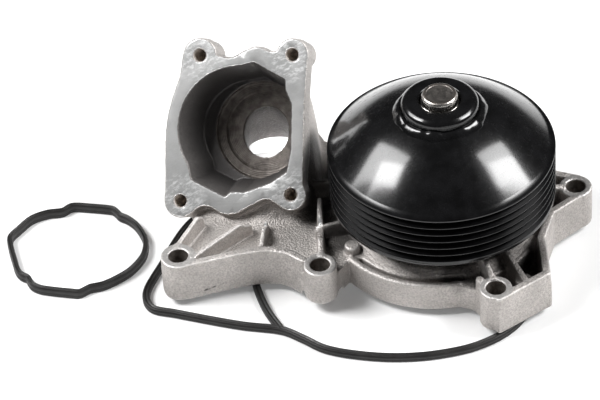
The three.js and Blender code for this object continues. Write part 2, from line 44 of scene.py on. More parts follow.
ROOT = "housing_set"
ROTOR = "rotor"
LOOSE = "loose_thermostat_gasket"

SHAFT_R = 7.96
SHAFT_END_R = 7.3
SHAFT_TOP = 76.8
RIB_PITCH = 3.56
RIB_COUNT = 6
PULLEY_R = 46.2
PULLEY_LIP_Z = 49.5
PULLEY_FOOT_Z = 25.8
PULLEY_INSIDE_R = 40.8
PULLEY_SHEET = 2.8
GROOVE_DEPTH = 2.8
DOME_EYE_R = 16.4        # the hole in the dome that the hub fills
DOME_BULGE = 2.2         # how far the dome stands over a plain cone
DOME_TOP_Z = 67.4
HUB_TOP_Z = 74.2
BOSS_TOP_Z = 18.0
DECK_Z = 12.0
VOLUTE_R = 43.6
VOLUTE_WIDENS = 3.4
CRANKCASE_SEAL = (3.17, 3.0)            # width, height
THERMOSTAT_SEAL = (2.37, 4.2)
BOLT_HOLE_R = 4.2
SCREW_HOLE_R = 2.6
WALL = 3.2
CHAMBER_DEPTH = 20.0
FLOOR_Z = -3.3
VOXEL = 0.62
CASTING_KEEPS = 0.41     # share of the casting's faces that's kept
UP = (0, 0, 1)
ORIGIN = (0, 0, 0)

BOLT_BOSSES = [          # x, y, radius, foot z
    (-109.3, -20.0, 7.2, 0.0),
    (-52.2, -31.2, 6.7, 2.0),
    (16.9, -52.0, 6.6, 0.0),
    (55.3, 5.0, 6.8, 0.0),
    (15.0, 55.0, 6.8, 0.0),
    (-70.0, 70.0, 6.8, 0.0),
]

# Thermostat flange frame: u across, v up the face, w out of it.
FLANGE_YAW = math.radians(20)
FLANGE_RISE = math.radians(40)
FLANGE_CENTRE = np.array([-79.0, 27.0, 46.0])
FLANGE_W = np.array([
    -math.sin(FLANGE_YAW) * math.cos(FLANGE_RISE),
    -math.cos(FLANGE_YAW) * math.cos(FLANGE_RISE),
    math.sin(FLANGE_RISE),
])
FLANGE_U = np.array([math.cos(FLANGE_YAW), -math.sin(FLANGE_YAW), 0.0])
FLANGE_V = np.cross(FLANGE_W, FLANGE_U)
FLANGE_HOLES = [(-23.2, 24.7, 7.2), (15.9, 30.7, 6.8), (-22.2, -36.0, 7.0), (24.0, -26.0, 6.6)]
FLANGE_THICKNESS = 8.5
SEAT = (3.0, -2.5)       # turned thermostat seat, in flange u, v
SEAT_R = 20.3
BORE_START = (3.3, -1.6, -21.0)         # the bore that leads out of the chamber, in flange u, v, w
BORE_END = (-66.9, 51.8, 4.0)
BORE_R = 9.7
FLASH_START = (-100.2, -25.6, 3.0)      # a short flaw of the casting at the mould's parting line
FLASH_END = (-92.5, -23.8, 4.5)


def flange_point(u, v, w=0.0):
    return FLANGE_CENTRE + FLANGE_U * u + FLANGE_V * v + FLANGE_W * w


def polar(radius, angle, x=0.0, y=0.0):
    return x + radius * math.cos(angle), y + radius * math.sin(angle)


def unit(vector):
    return vector / np.linalg.norm(vector)


# ---------------------------------------------------------------- distance fields

def smooth_min(a, b, k):
    if k <= 0:
        return np.minimum(a, b)
    h = np.clip(0.5 + 0.5 * (b - a) / k, 0, 1)
    return b + (a - b) * h - k * h * (1 - h)


def smooth_max(a, b, k):
    return -smooth_min(-a, -b, k)


def curve_points(points, closed, per_span=6):
    """Centripetal Catmull-Rom points through a short list of plan points."""
    pts = [np.array(p, float) for p in points]
    if closed:
        pts = [pts[-1], *pts, pts[0], pts[1]]
    else:
        pts = [2 * pts[0] - pts[1], *pts, 2 * pts[-1] - pts[-2]]
    out = []
    for i in range(1, len(pts) - 2):
        p = pts[i - 1:i + 3]
        t = [0.0]
        for a, b in zip(p, p[1:]):
            t.append(t[-1] + max(math.sqrt(np.linalg.norm(b - a)), 1e-3))
        for s in range(per_span):
            x = t[1] + (t[2] - t[1]) * s / per_span
            row = p
            for level in (1, 2):
                row = [((t[j + level] - x) * row[j] + (x - t[j]) * row[j + 1]) / (t[j + level] - t[j])
                       for j in range(len(row) - 1)]
            out.append(((t[2] - x) * row[0] + (x - t[1]) * row[1]) / (t[2] - t[1]))
    if not closed:
        out.append(pts[-2])
    return np.array(out)


def polygon_distance(x, y, points):
    """Signed distance to a closed outline, negative inside."""
    best = np.full(np.broadcast(x, y).shape, 1e9, np.float32)
    inside = np.zeros(best.shape, bool)
    last = points[-1]
    for point in points:
        ex, ey = last[0] - point[0], last[1] - point[1]
        wx, wy = x - point[0], y - point[1]
        t = np.clip((wx * ex + wy * ey) / max(ex * ex + ey * ey, 1e-9), 0, 1)
        best = np.minimum(best, (wx - ex * t) ** 2 + (wy - ey * t) ** 2)
        above = y >= point[1]
        below = y < last[1]
        left = ex * wy > ey * wx
        inside ^= (above & below & left) | (~above & ~below & ~left)
        last = point
    return np.where(inside, -1, 1) * np.sqrt(best)


def path_distance(x, y, points):
    """Distance to an open line of points, and how far along it the nearest point is, 0 to 1."""
    best = np.full(np.broadcast(x, y).shape, 1e9, np.float32)
    along = np.zeros(best.shape, np.float32)
    steps = np.linalg.norm(np.diff(points, axis=0), axis=1)
    ends = np.concatenate([[0], np.cumsum(steps)])
    for i in range(len(points) - 1):
        ax, ay = points[i]
        ex, ey = points[i + 1] - points[i]
        t = np.clip(((x - ax) * ex + (y - ay) * ey) / max(ex * ex + ey * ey, 1e-9), 0, 1)
        d = (x - ax - ex * t) ** 2 + (y - ay - ey * t) ** 2
        nearer = d < best
        best = np.where(nearer, d, best)
        along = np.where(nearer, (ends[i] + t * steps[i]) / ends[-1], along)
    return np.sqrt(best), along


class Table:
    """A 2D outline's distance, looked up from a fine grid."""
    STEP = 0.4

    def __init__(self, points, margin=8.0):
        pts = np.array(points, float)
        self.low = pts.min(0) - margin
        size = np.ceil((pts.max(0) + margin - self.low) / self.STEP).astype(int) + 1
        gx = (self.low[0] + self.STEP * np.arange(size[0]))[:, None]
        gy = (self.low[1] + self.STEP * np.arange(size[1]))[None, :]
        self.grid = polygon_distance(gx, gy, pts).astype(np.float32)

    def at(self, u, v):
        fu = np.clip((u - self.low[0]) / self.STEP, 0, self.grid.shape[0] - 1.001)
        fv = np.clip((v - self.low[1]) / self.STEP, 0, self.grid.shape[1] - 1.001)
        iu, iv = fu.astype(np.int32), fv.astype(np.int32)
        a, b = fu - iu, fv - iv
        g = self.grid
        return ((g[iu, iv] * (1 - a) + g[iu + 1, iv] * a) * (1 - b)
                + (g[iu, iv + 1] * (1 - a) + g[iu + 1, iv + 1] * a) * b)


class Shape:
    """A distance function with the box that it matters in."""

    def __init__(self, low, high, distance):
        self.low, self.high, self.distance = np.array(low, float), np.array(high, float), distance


def capped(plan, z, low, high, edge):
    """A plan distance, closed off under low and over high."""
    return smooth_max(plan, np.maximum(z - high, low - z), edge)


def prism(points, low, high, edge=0.8):
    pts = np.array(points, float)

    def distance(x, y, z):
        return capped(polygon_distance(x[:, :, 0], y[:, :, 0], pts)[:, :, None], z, low, high, edge)
    return Shape([*pts.min(0), low], [*pts.max(0), high], distance)


def block(x0, y0, x1, y1, low, high):
    return prism([(x0, y0), (x1, y0), (x1, y1), (x0, y1)], low, high, edge=0.0)


def post(x0, y0, radius, low, high, edge=0.8):
    def distance(x, y, z):
        return capped(np.hypot(x - x0, y - y0) - radius, z, low, high, edge)
    return Shape([x0 - radius, y0 - radius, low], [x0 + radius, y0 + radius, high], distance)


def wall(points, width, low, top, top_end=None, edge=0.8, draft=0.02, smooth=True):
    """An upright wall along plan points, its top sloping from top to top_end."""
    line = curve_points(points, False) if smooth and len(points) > 2 else np.array(points, float)
    end = top if top_end is None else top_end
    peak = max(top, end)

    def distance(x, y, z):
        d, along = path_distance(x[:, :, 0], y[:, :, 0], line)
        plan = d[:, :, None] - width / 2 - draft * np.clip(peak - z, 0, None)
        crest = z - (top + (end - top) * along[:, :, None])
        return smooth_max(plan, np.maximum(crest, low - z), edge)
    spread = width / 2 + draft * (peak - low)
    return Shape([*(line.min(0) - spread), low], [*(line.max(0) + spread), peak], distance)


def turned(profile, edge_margin=6.0):
    """A solid turned about Z. profile is (radius, z) points; the axis side is closed past r = 0."""
    pts = np.array(profile, float)
    table = Table(pts, edge_margin)

    def distance(x, y, z):
        r = np.hypot(x, y)
        return table.at(*np.broadcast_arrays(r, z))
    r = pts[:, 0].max()
    return Shape([-r, -r, pts[:, 1].min()], [r, r, pts[:, 1].max()], distance)


def flange_box(u, v, w):
    corners = np.array([flange_point(a, b, c) for a in u for b in v for c in w])
    return corners.min(0), corners.max(0)


def flange_axes(x, y, z):
    dx, dy, dz = x - FLANGE_CENTRE[0], y - FLANGE_CENTRE[1], z - FLANGE_CENTRE[2]
    return [dx * a[0] + dy * a[1] + dz * a[2] for a in (FLANGE_U, FLANGE_V, FLANGE_W)]


def flange_prism(points, low, high, edge=0.8, grow=0.0, draft=0.0):
    """A prism on the flange frame. draft widens it with depth when positive."""
    pts = np.array(points, float)
    table = Table(pts)

    def distance(x, y, z):
        u, v, w = flange_axes(x, y, z)
        plan = table.at(u, v) - grow - draft * np.clip(high - w, 0, None)
        return capped(plan, w, low, high, edge)
    spread = grow + max(0, draft) * (high - low)
    (u0, v0), (u1, v1) = pts.min(0) - spread, pts.max(0) + spread
    return Shape(*flange_box((u0, u1), (v0, v1), (low, high)), distance)


def flange_post(u0, v0, radius, low, high, edge=0.6):
    def distance(x, y, z):
        u, v, w = flange_axes(x, y, z)
        return capped(np.hypot(u - u0, v - v0) - radius, w, low, high, edge)
    reach = radius + 2
    return Shape(*flange_box((u0 - reach, u0 + reach), (v0 - reach, v0 + reach), (low, high)), distance)


def rod(start, end, radius):
    start, end = np.array(start, float), np.array(end, float)
    run = end - start
    length = np.linalg.norm(run)
    run = run / length

    def distance(x, y, z):
        dx, dy, dz = x - start[0], y - start[1], z - start[2]
        t = dx * run[0] + dy * run[1] + dz * run[2]
        r2 = dx * dx + dy * dy + dz * dz - t * t
        return np.maximum(np.sqrt(np.maximum(r2, 0)) - radius, np.maximum(-t, t - length))
    return Shape(np.minimum(start, end) - radius, np.maximum(start, end) + radius, distance)


def hull(corners, rounding=3.0):
    """The convex solid round some corner points, with softened edges."""
    bm = bmesh.new()
    for corner in corners:
        bm.verts.new(corner)
    bmesh.ops.convex_hull(bm, input=bm.verts)
    planes = []
    centre = np.mean(corners, axis=0)
    for face in bm.faces:
        n = np.array(face.normal)
        c = float(n @ np.array(face.verts[0].co))
        if n @ centre > c:
            n, c = -n, -c
        if not any(n @ m > 0.9995 and abs(c - e) < 0.05 for m, e in planes):
            planes.append((n, c))
    bm.free()

    def distance(x, y, z):
        d = None
        for n, c in planes:
            side = (x * n[0] + y * n[1] + z * n[2] - c).astype(np.float32)
            d = side if d is None else smooth_max(d, side, rounding)
        return d
    pts = np.array(corners)
    return Shape(pts.min(0), pts.max(0), distance)


class Field:
    """The solid being built, as signed distances on a grid."""
    FAR = 6.0
    MARGIN = 5.0             # how far round a shape's box its distances are worked out

    def __init__(self, low, high, step):
        self.low, self.high, self.step = np.array(low, float), np.array(high, float), step
        size = np.ceil((self.high - self.low) / step).astype(int) + 1
        self.axes = [self.low[i] + step * np.arange(size[i]) for i in range(3)]
        self.d = np.full(size, self.FAR, np.float32)

    def window(self, shape):
        cut = []
        for i in range(3):
            a = int((shape.low[i] - self.MARGIN - self.low[i]) / self.step)
            b = int((shape.high[i] + self.MARGIN - self.low[i]) / self.step) + 2
            cut.append(slice(max(a, 0), max(min(b, self.d.shape[i]), 0)))
        x = self.axes[0][cut[0]][:, None, None]
        y = self.axes[1][cut[1]][None, :, None]
        z = self.axes[2][cut[2]][None, None, :]
        return tuple(cut), x, y, z

    def measure(self, shape):
        cut, x, y, z = self.window(shape)
        x, y = np.broadcast_arrays(x, y)
        return cut, np.asarray(shape.distance(x, y, z), np.float32)

    def add(self, shape, blend=0.0):
        cut, d = self.measure(shape)
        self.d[cut] = smooth_min(self.d[cut], d, blend)

    def add_all(self, shapes, blend=0.0):
        """Joins shapes sharply with each other, then softly with the solid."""
        group = np.full(self.d.shape, self.FAR, np.float32)
        for shape in shapes:
            cut, d = self.measure(shape)
            group[cut] = np.minimum(group[cut], d)
        self.d = smooth_min(self.d, group, blend)

    def cut(self, shape, blend=0.0):
        cut, d = self.measure(shape)
        self.d[cut] = smooth_max(self.d[cut], -d, blend)

    def mesh(self, name):
        band = 3 * self.step
        grid = openvdb.FloatGrid(band)
        grid.copyFromArray(np.clip(self.d, -band, band))
        points, triangles, quads = grid.convertToPolygons(isovalue=0.0, adaptivity=0.0)
        points = self.settle(points * self.step + self.low)
        return mesh_object(name, points * MM, [*quads.tolist(), *triangles.tolist()], weld=False)

    def sample(self, points):
        f = (points - self.low) / self.step
        f = np.clip(f, 0, np.array(self.d.shape) - 1.001)
        i = f.astype(int)
        t = f - i
        total = np.zeros(len(points))
        for corner in range(8):
            o = np.array([(corner >> k) & 1 for k in range(3)])
            w = np.prod(np.where(o, t, 1 - t), axis=1)
            j = i + o
            total += w * self.d[j[:, 0], j[:, 1], j[:, 2]]
        return total

    def settle(self, points, rounds=3):
        """Moves mesh points onto the zero surface, along the field's slope."""
        h = self.step * 0.5
        for _ in range(rounds):
            value = self.sample(points)
            slope = np.stack([
                self.sample(points + np.eye(3)[k] * h) - self.sample(points - np.eye(3)[k] * h)
                for k in range(3)], axis=1) / (2 * h)
            size = np.maximum((slope ** 2).sum(1), 0.2)
            points = points - slope * (np.clip(value, -h, h) / size)[:, None]
        return points


def link_object(name, data):
    obj = bpy.data.objects.new(name, data)
    bpy.context.collection.objects.link(obj)
    return obj


def mesh_from(name, bm):
    mesh = bpy.data.meshes.new(name)
    bm.to_mesh(mesh)
    bm.free()
    return mesh


def mesh_object(name, points, faces, weld=True, sharp=38):
    """A smooth mesh, its normals outward. weld joins points that coincide and keeps sharp edges."""
    mesh = bpy.data.meshes.new(name)
    mesh.from_pydata([tuple(p) for p in points], [], faces)
    if not weld:
        mesh.validate()
    bm = bmesh.new()
    bm.from_mesh(mesh)
    if weld:
        bmesh.ops.remove_doubles(bm, verts=bm.verts, dist=1e-6)
    bmesh.ops.recalc_face_normals(bm, faces=bm.faces)
    bm.to_mesh(mesh)
    bm.free()
    mesh.shade_smooth()
    if weld:
        mesh.set_sharp_from_angle(angle=math.radians(sharp))
    return link_object(name, mesh)


# ---------------------------------------------------------------- housing casting

def volute_radius(angle):
    return VOLUTE_R + VOLUTE_WIDENS * max(0.0, -angle - math.pi / 2) / (math.pi / 3)


def ring_points(start, end, count, radius):
    """Plan points along an arc about the shaft. radius is a number or a function of the angle."""
    out = []
    for i in range(count + 1):
        angle = start + (end - start) * i / count
        out.append(polar(radius(angle) if callable(radius) else radius, angle))
    return out


def base_plan():
    front = curve_points([(-116.4, -19), (-114, -26), (-108, -27.4), (-96, -24.6), (-84, -22),
                          (-75, -21.2), (-66, -23.2), (-60, -29)], False)
    points = [tuple(p) for p in front]
    points += [(-52, -37.6), (-45.6, -31)]
    points += ring_points(-2.6, -1.5, 16, volute_radius)
    points += [(9.4, -46.4), (17.4, -60), (39.5, -46), (39.5, -24.5), (44, -10.4), (56, -1.8)]
    points += [(61.2, 4), (58, 11), (46, 17)]
    points += ring_points(0.55, 2.2, 16, 46.0)
    points += [(-46, 52), (-52, 66), (-86, 66), (-98, 50), (-103, 16), (-103, 0), (-112, -13)]
    return points


def flange_outline():
    """The machined face's wavy edge, without its four round lobes."""
    top = curve_points([(-30.4, 24), (-16, 25.8), (-9.5, 26), (-5, 29.2), (0.5, 32), (6.5, 30.8),
                        (11, 32)], False)
    right = [(22.6, 31), (24.5, 9), (28.6, -21), (27, -29)]
    foot = curve_points([(20, -31.4), (14.5, -29.6), (9, -32.6), (2, -37.6), (-4, -38.4),
                         (-9, -36.6), (-13, -37), (-17, -40.6)], False)
    left = curve_points([(-29, -37), (-30.2, -28), (-32.4, -14), (-33.2, -4), (-32.4, 5),
                         (-30.6, 15), (-30.6, 22)], False)
    return [*map(tuple, top), *right, *map(tuple, foot), *map(tuple, left)]


def chamber_outline():
    points = [polar(26, math.radians(102 + 120 * i / 24), -2, -3) for i in range(25)]
    points += [(-18.9, -26.5), (-3.6, -31.2), (-1.6, -28.8), (4.5, -28), (14.8, -22.5)]
    points += [(20.8, -17), (21.2, -8), (18.7, 10.6), (15.2, 16), (14.4, 20.2), (0.4, 25.2)]
    return points


FRONT_WALL = [(-108, -25.2), (-96, -22.8), (-84, -20.3), (-75, -19.5), (-66, -21.4), (-59, -27)]
CORNER_WALLS = [
    [(10.9, -46.2), (17.6, -57.7)],
    [(17.6, -57.8), (37.9, -45.2)],
    [(37.9, -45.4), (37.9, -24)],
    [(37.9, -24.6), (43.4, -9.6)],
    [(43.4, -9.6), (56, -0.2)],
    [(57, 10.2), (45, 15.4)],
]
RIBS = [                 # plan points, width, top at each end
    ([(-110, -14), (-99.6, 3)], 2.4, 18, 20),
    ([(-103.5, -21), (-80, -3)], 2.6, 18, 20.5),
    ([(-76, -19), (-73, -2)], 2.4, 16.5, 19),
    ([(-51.5, -27), (-50.4, 4)], 3.0, 18, 22),
    ([(-52, -8.5), (-24, -5)], 2.4, 18, 21),
    ([(-52, 14), (-20, 8)], 2.4, 23, 24),
    ([(17, -50), (9, -20)], 2.6, 18, 24),
    ([(30, -46), (16, -16)], 2.4, 14, 23),
    ([(53, 5), (20, 3)], 2.8, 18, 24),
    ([(15, 53), (8, 20)], 2.8, 18, 24),
]
TOWER = [                # volute roof and bearing tower: radius, z
    (-6, 0), (38.6, 0), (38.6, 13.2), (36.5, 15), (27, 16.6), (24, 19), (20.6, 26), (20.4, 55.2),
    (19.2, 56.5), (-6, 56.5),
]
TOWER_BORE = [           # seats of the face seal and the bearing
    (-6, -3), (16.3, -3), (16.3, 19), (12, 19), (12, 22.7), (15.3, 22.7), (15.3, 62), (-6, 62),
]
POCKETS = [
    [(13.4, -45.6), (18.6, -54.6), (36.2, -43.6), (36.2, -25), (33.5, -25.5), (27, -32.5),
     (18, -38.2)],
    [(43.6, -6.6), (54, 1), (54.6, 8.4), (44.6, 13), (41.4, 8), (41.8, -4)],
]
PASSAGE = [(-91, -7), (-86, -11), (-60, -12), (-50, -6), (-48.5, 16), (-56, 36), (-57, 57), (-60, 60),
           (-79, 60), (-84, 56), (-91, 24)]
PASSAGE_RIBS = [[(-91, 10), (-49, 8)], [(-72, -11.5), (-70, 26)]]
SEAL_GROOVES = [
    [(-38, -14), (-30, -27), (-14, -37.4), (0, -39.8), (16, -40), (32, -38), (34, -20), (40.4, 0),
     (34, 21), (18, 36.5), (-6, 40.8), (-28, 36), (-40.5, 14), (-41, -4), (-38, -14)],
    [(-38.5, -12), (-50, -15.5), (-62, -17), (-88, -16), (-96, -8), (-97, 14), (-92, 40), (-87, 58),
     (-80, 63), (-59, 63), (-53.5, 56), (-51, 40), (-42, 22), (-39.5, 12)],
]


def thermostat_body():
    rim = [(-7, 26.5), (-17, 23), (-26, 14), (-31, 2), (-31, -8), (-27, -20), (-20, -30), (-4, -34),
           (6, -32), (16, -26.5), (24.3, -18), (24.6, -8), (22, 12), (15.5, 23), (0, 28.5)]
    foot = [(-100, 6), (-96, 36), (-86, 60), (-56, 61), (-47.5, 48), (-47.5, 10), (-58, 1), (-88, 0)]
    corners = [flange_point(u, v, -depth) for depth in (4, CHAMBER_DEPTH + 5) for u, v in rim]
    corners += [np.array([x, y, 6.0]) for x, y in foot]
    return hull(corners, 2.5)


def housing_solid():
    field = Field((-118.5, -62.5, -2.0), (64.5, 79.0, 77.5), VOXEL)
    field.add(prism(base_plan(), 0, DECK_Z, edge=0.6))
    for pocket in POCKETS:
        field.cut(prism(pocket, 4, DECK_Z + 3, edge=0.6), 1.2)
    field.add(turned(TOWER), 2.0)
    field.cut(wall(ring_points(-2.55, -1.45, 14, lambda a: volute_radius(a) - 4.2), 1.6, 8.5, 14), 0.8)
    field.add(wall(ring_points(-2.62, -1.5, 14, lambda a: volute_radius(a) - 1.5), 2.6, 0, 12.8), 0.6)
    field.add(thermostat_body(), 4.0)
    walls = [wall(line, WALL, 0, BOSS_TOP_Z, edge=0.45) for line in (FRONT_WALL, *CORNER_WALLS)]
    bosses = [post(x, y, r, foot, BOSS_TOP_Z, edge=0.4) for x, y, r, foot in BOLT_BOSSES]
    lugs = [wall([(15, 55), (11, 38)], 11, 0, DECK_Z), wall([(-70, 70), (-70, 56)], 11, 0, DECK_Z)]
    field.add_all(walls + bosses + lugs, 1.2)
    ribs = [wall(line, width * 0.62, 0, a, b, edge=0.3, draft=0.07) for line, width, a, b in RIBS]
    field.add_all(ribs, 1.0)
    field.add(post(29, -43, 3.6, 0, 13), 1.0)
    field.add(post(-38.6, -18.1, 3.1, 0, 15.5), 1.0)

    plate = flange_prism(flange_outline(), -FLANGE_THICKNESS, 0, edge=0.35)
    lobes = [flange_post(u, v, r, -FLANGE_THICKNESS, 0, edge=0.35) for u, v, r in FLANGE_HOLES]
    stems = [flange_post(u, v, r - 0.8, -17, -7) for u, v, r in FLANGE_HOLES]
    flange = Field(field.low, field.high, VOXEL)
    for shape in [plate, *lobes, *stems]:
        flange.add(shape, 0.8)
    field.d = smooth_min(field.d, flange.d, 2.4)
    field.cut(flange_prism([(-45, -41), (45, -41), (45, 60), (-45, 60)], 0, 40, edge=0.0))

    field.cut(flange_prism(chamber_outline(), -CHAMBER_DEPTH, 6, edge=0.0, grow=1.5, draft=-0.25), 0.3)
    field.cut(flange_post(*SEAT, SEAT_R, -CHAMBER_DEPTH - 2.2, -CHAMBER_DEPTH + 2, edge=0.0), 0.35)
    field.cut(flange_post(*SEAT, 16.5, -CHAMBER_DEPTH - 3.6, -CHAMBER_DEPTH, edge=0.0), 0.35)
    for u, v, _ in FLANGE_HOLES:
        field.cut(flange_post(u, v, SCREW_HOLE_R, -14, 6, edge=0.0), 0.35)
    for x, y, _, _ in BOLT_BOSSES:
        field.cut(post(x, y, BOLT_HOLE_R - 0.15, -6, BOSS_TOP_Z + 9, edge=0.0), 0.2)
    field.cut(turned(TOWER_BORE), 0.6)
    spiral = [polar(31 + 6 * i / 64, -math.pi / 2 - 2 * math.pi * i / 64) for i in range(64)]
    field.cut(prism(spiral, -3, 9, edge=1.5))
    field.cut(prism(PASSAGE, -3, 7, edge=1.2))
    field.add_all([wall(line, 2.6, 1.5, 9) for line in PASSAGE_RIBS], 0.8)
    start, end = flange_point(*BORE_START), np.array(BORE_END)
    reach = (end - start) * 0.1
    field.cut(rod(start - reach, end + reach, BORE_R), 0.35)
    for groove in SEAL_GROOVES:
        field.cut(wall(curve_points(groove, False), 3.2, -3, 2.2, smooth=False, draft=0.0, edge=0.3))
    field.cut(block(-60, -45, -44, -25, -3, 2))
    field.cut(block(-130, -70, 70, 90, -6, 0))
    return field


def casting():
    obj = housing_solid().mesh("housing_casting")
    thin = obj.modifiers.new("thin", "DECIMATE")
    thin.ratio = CASTING_KEEPS
    apply_modifiers(obj)
    return obj


def apply_modifiers(obj):
    graph = bpy.context.evaluated_depsgraph_get()
    mesh = bpy.data.meshes.new_from_object(obj.evaluated_get(graph))
    obj.modifiers.clear()
    obj.data = mesh
    mesh.shade_smooth()


# ---------------------------------------------------------------- turned and swept pieces

def fillet(points, radius, closed=True, steps=4):
    """Rounds a profile's corners. A point may carry a corner radius of its own as a third number."""
    out = []
    last = len(points) - 1
    for i, point in enumerate(points):
        here = np.array(point[:2], float)
        size = point[2] if len(point) > 2 else radius
        if size <= 0 or (not closed and i in (0, last)):
            out.append(here)
            continue
        before = np.array(points[i - 1][:2], float) - here
        after = np.array(points[(i + 1) % len(points)][:2], float) - here
        reach = min(size, 0.48 * np.linalg.norm(before), 0.48 * np.linalg.norm(after))
        a = here + before / np.linalg.norm(before) * reach
        b = here + after / np.linalg.norm(after) * reach
        for k in range(steps + 1):
            t = k / steps
            out.append((1 - t) ** 2 * a + 2 * t * (1 - t) * here + t * t * b)
    return out


def ring_faces(rings, rows, closed_run, closed_ring=True):
    """Four-sided faces between neighbouring rings of points."""
    faces = []
    for i in range(rings if closed_run else rings - 1):
        a, b = i * rows, ((i + 1) % rings) * rows
        for k in range(rows if closed_ring else rows - 1):
            j = (k + 1) % rows
            faces.append((a + k, b + k, b + j, a + j))
    return faces


def lathe(name, profile, segments=144, closed=True, warp=None):
    """A mesh turned about Z. An open profile starts and ends on the axis. warp moves a point by its angle."""
    points = []
    for s in range(segments):
        angle = 2 * math.pi * s / segments
        for r, z in profile:
            if warp:
                r, z = warp(r, z, angle)
            x, y = polar(r, angle)
            points.append((x * MM, y * MM, z * MM))
    return mesh_object(name, points, ring_faces(segments, len(profile), True, closed))


def swept_strip(name, path, section, closed):
    """A section of (across, up) points swept along plan points."""
    count, rows = len(path), len(section)
    points = []
    for i, here in enumerate(path):
        if closed:
            along = path[(i + 1) % count] - path[i - 1]
        else:
            along = path[min(i + 1, count - 1)] - path[max(i - 1, 0)]
        along = unit(along)
        side = np.array([-along[1], along[0]])
        for across, up in section:
            spot = here + side * across
            points.append((spot[0] * MM, spot[1] * MM, up * MM))
    faces = ring_faces(count, rows, closed)
    if not closed:
        faces.append(tuple(range(rows)))
        faces.append(tuple((count - 1) * rows + k for k in range(rows)))
    return mesh_object(name, points, faces)


def joined(name, objects):
    bm = bmesh.new()
    for obj in objects:
        bm.from_mesh(obj.data)
        bpy.data.objects.remove(obj)
    return link_object(name, mesh_from(name, bm))


# ---------------------------------------------------------------- pulley, hub and shaft

def pulley_profile():
    outside = []
    for i in range(25):
        t = i / 24
        r = DOME_EYE_R + (PULLEY_R - 1.6 - DOME_EYE_R) * t
        z = DOME_TOP_Z + 1.2 + (PULLEY_LIP_Z - DOME_TOP_Z - 0.3) * t + DOME_BULGE * math.sin(math.pi * t)
        outside.append((r, z, 0))
    skin = [(min(r, PULLEY_INSIDE_R) - 0.9, z - PULLEY_SHEET, 0) for r, z, _ in outside[1:]]
    skin.insert(0, (DOME_EYE_R, DOME_TOP_Z - 1.6, 0))
    outside.append((PULLEY_R, PULLEY_LIP_Z + 0.45, 0.9))
    for i in range(RIB_COUNT):
        tip = PULLEY_LIP_Z - i * RIB_PITCH
        root = PULLEY_R - GROOVE_DEPTH
        outside += [(PULLEY_R, tip - 0.35, 0.35), (root, tip - 1.6, 0.35)]
        outside += [(root, tip - 2.1, 0.35), (PULLEY_R, tip - RIB_PITCH + 0.05, 0.35)]
    outside += [(PULLEY_R, PULLEY_FOOT_Z, 1.0), (PULLEY_INSIDE_R - 0.4, PULLEY_FOOT_Z, 0.5)]
    inside = [p for p in skin if p[0] < PULLEY_INSIDE_R - 0.95]
    inside.append((PULLEY_INSIDE_R - 0.4, PULLEY_LIP_Z - 1.6, 2.5))
    return fillet([*outside, *reversed(inside)], 0.3)


def weld_wobble(r, z, angle):
    """The bead's uneven crest and edge, where the welder went round by hand."""
    lumps = (0.5 * math.sin(6 * angle + 0.6) + 0.35 * math.sin(11 * angle + 2.1)
             + 0.22 * math.sin(17 * angle + 0.3) + 0.1 * math.sin(29 * angle))
    edge = max(0.0, (r - DOME_EYE_R) / 3.2)
    lift = max(0.0, (z - DOME_TOP_Z - 0.6) / 2.3)
    outward = edge * (0.2 * math.sin(7 * angle) + 0.34 * lumps) - 0.3 * edge
    upward = 0.4 * lumps * lift - 0.25 * lift
    return r + outward, z + upward


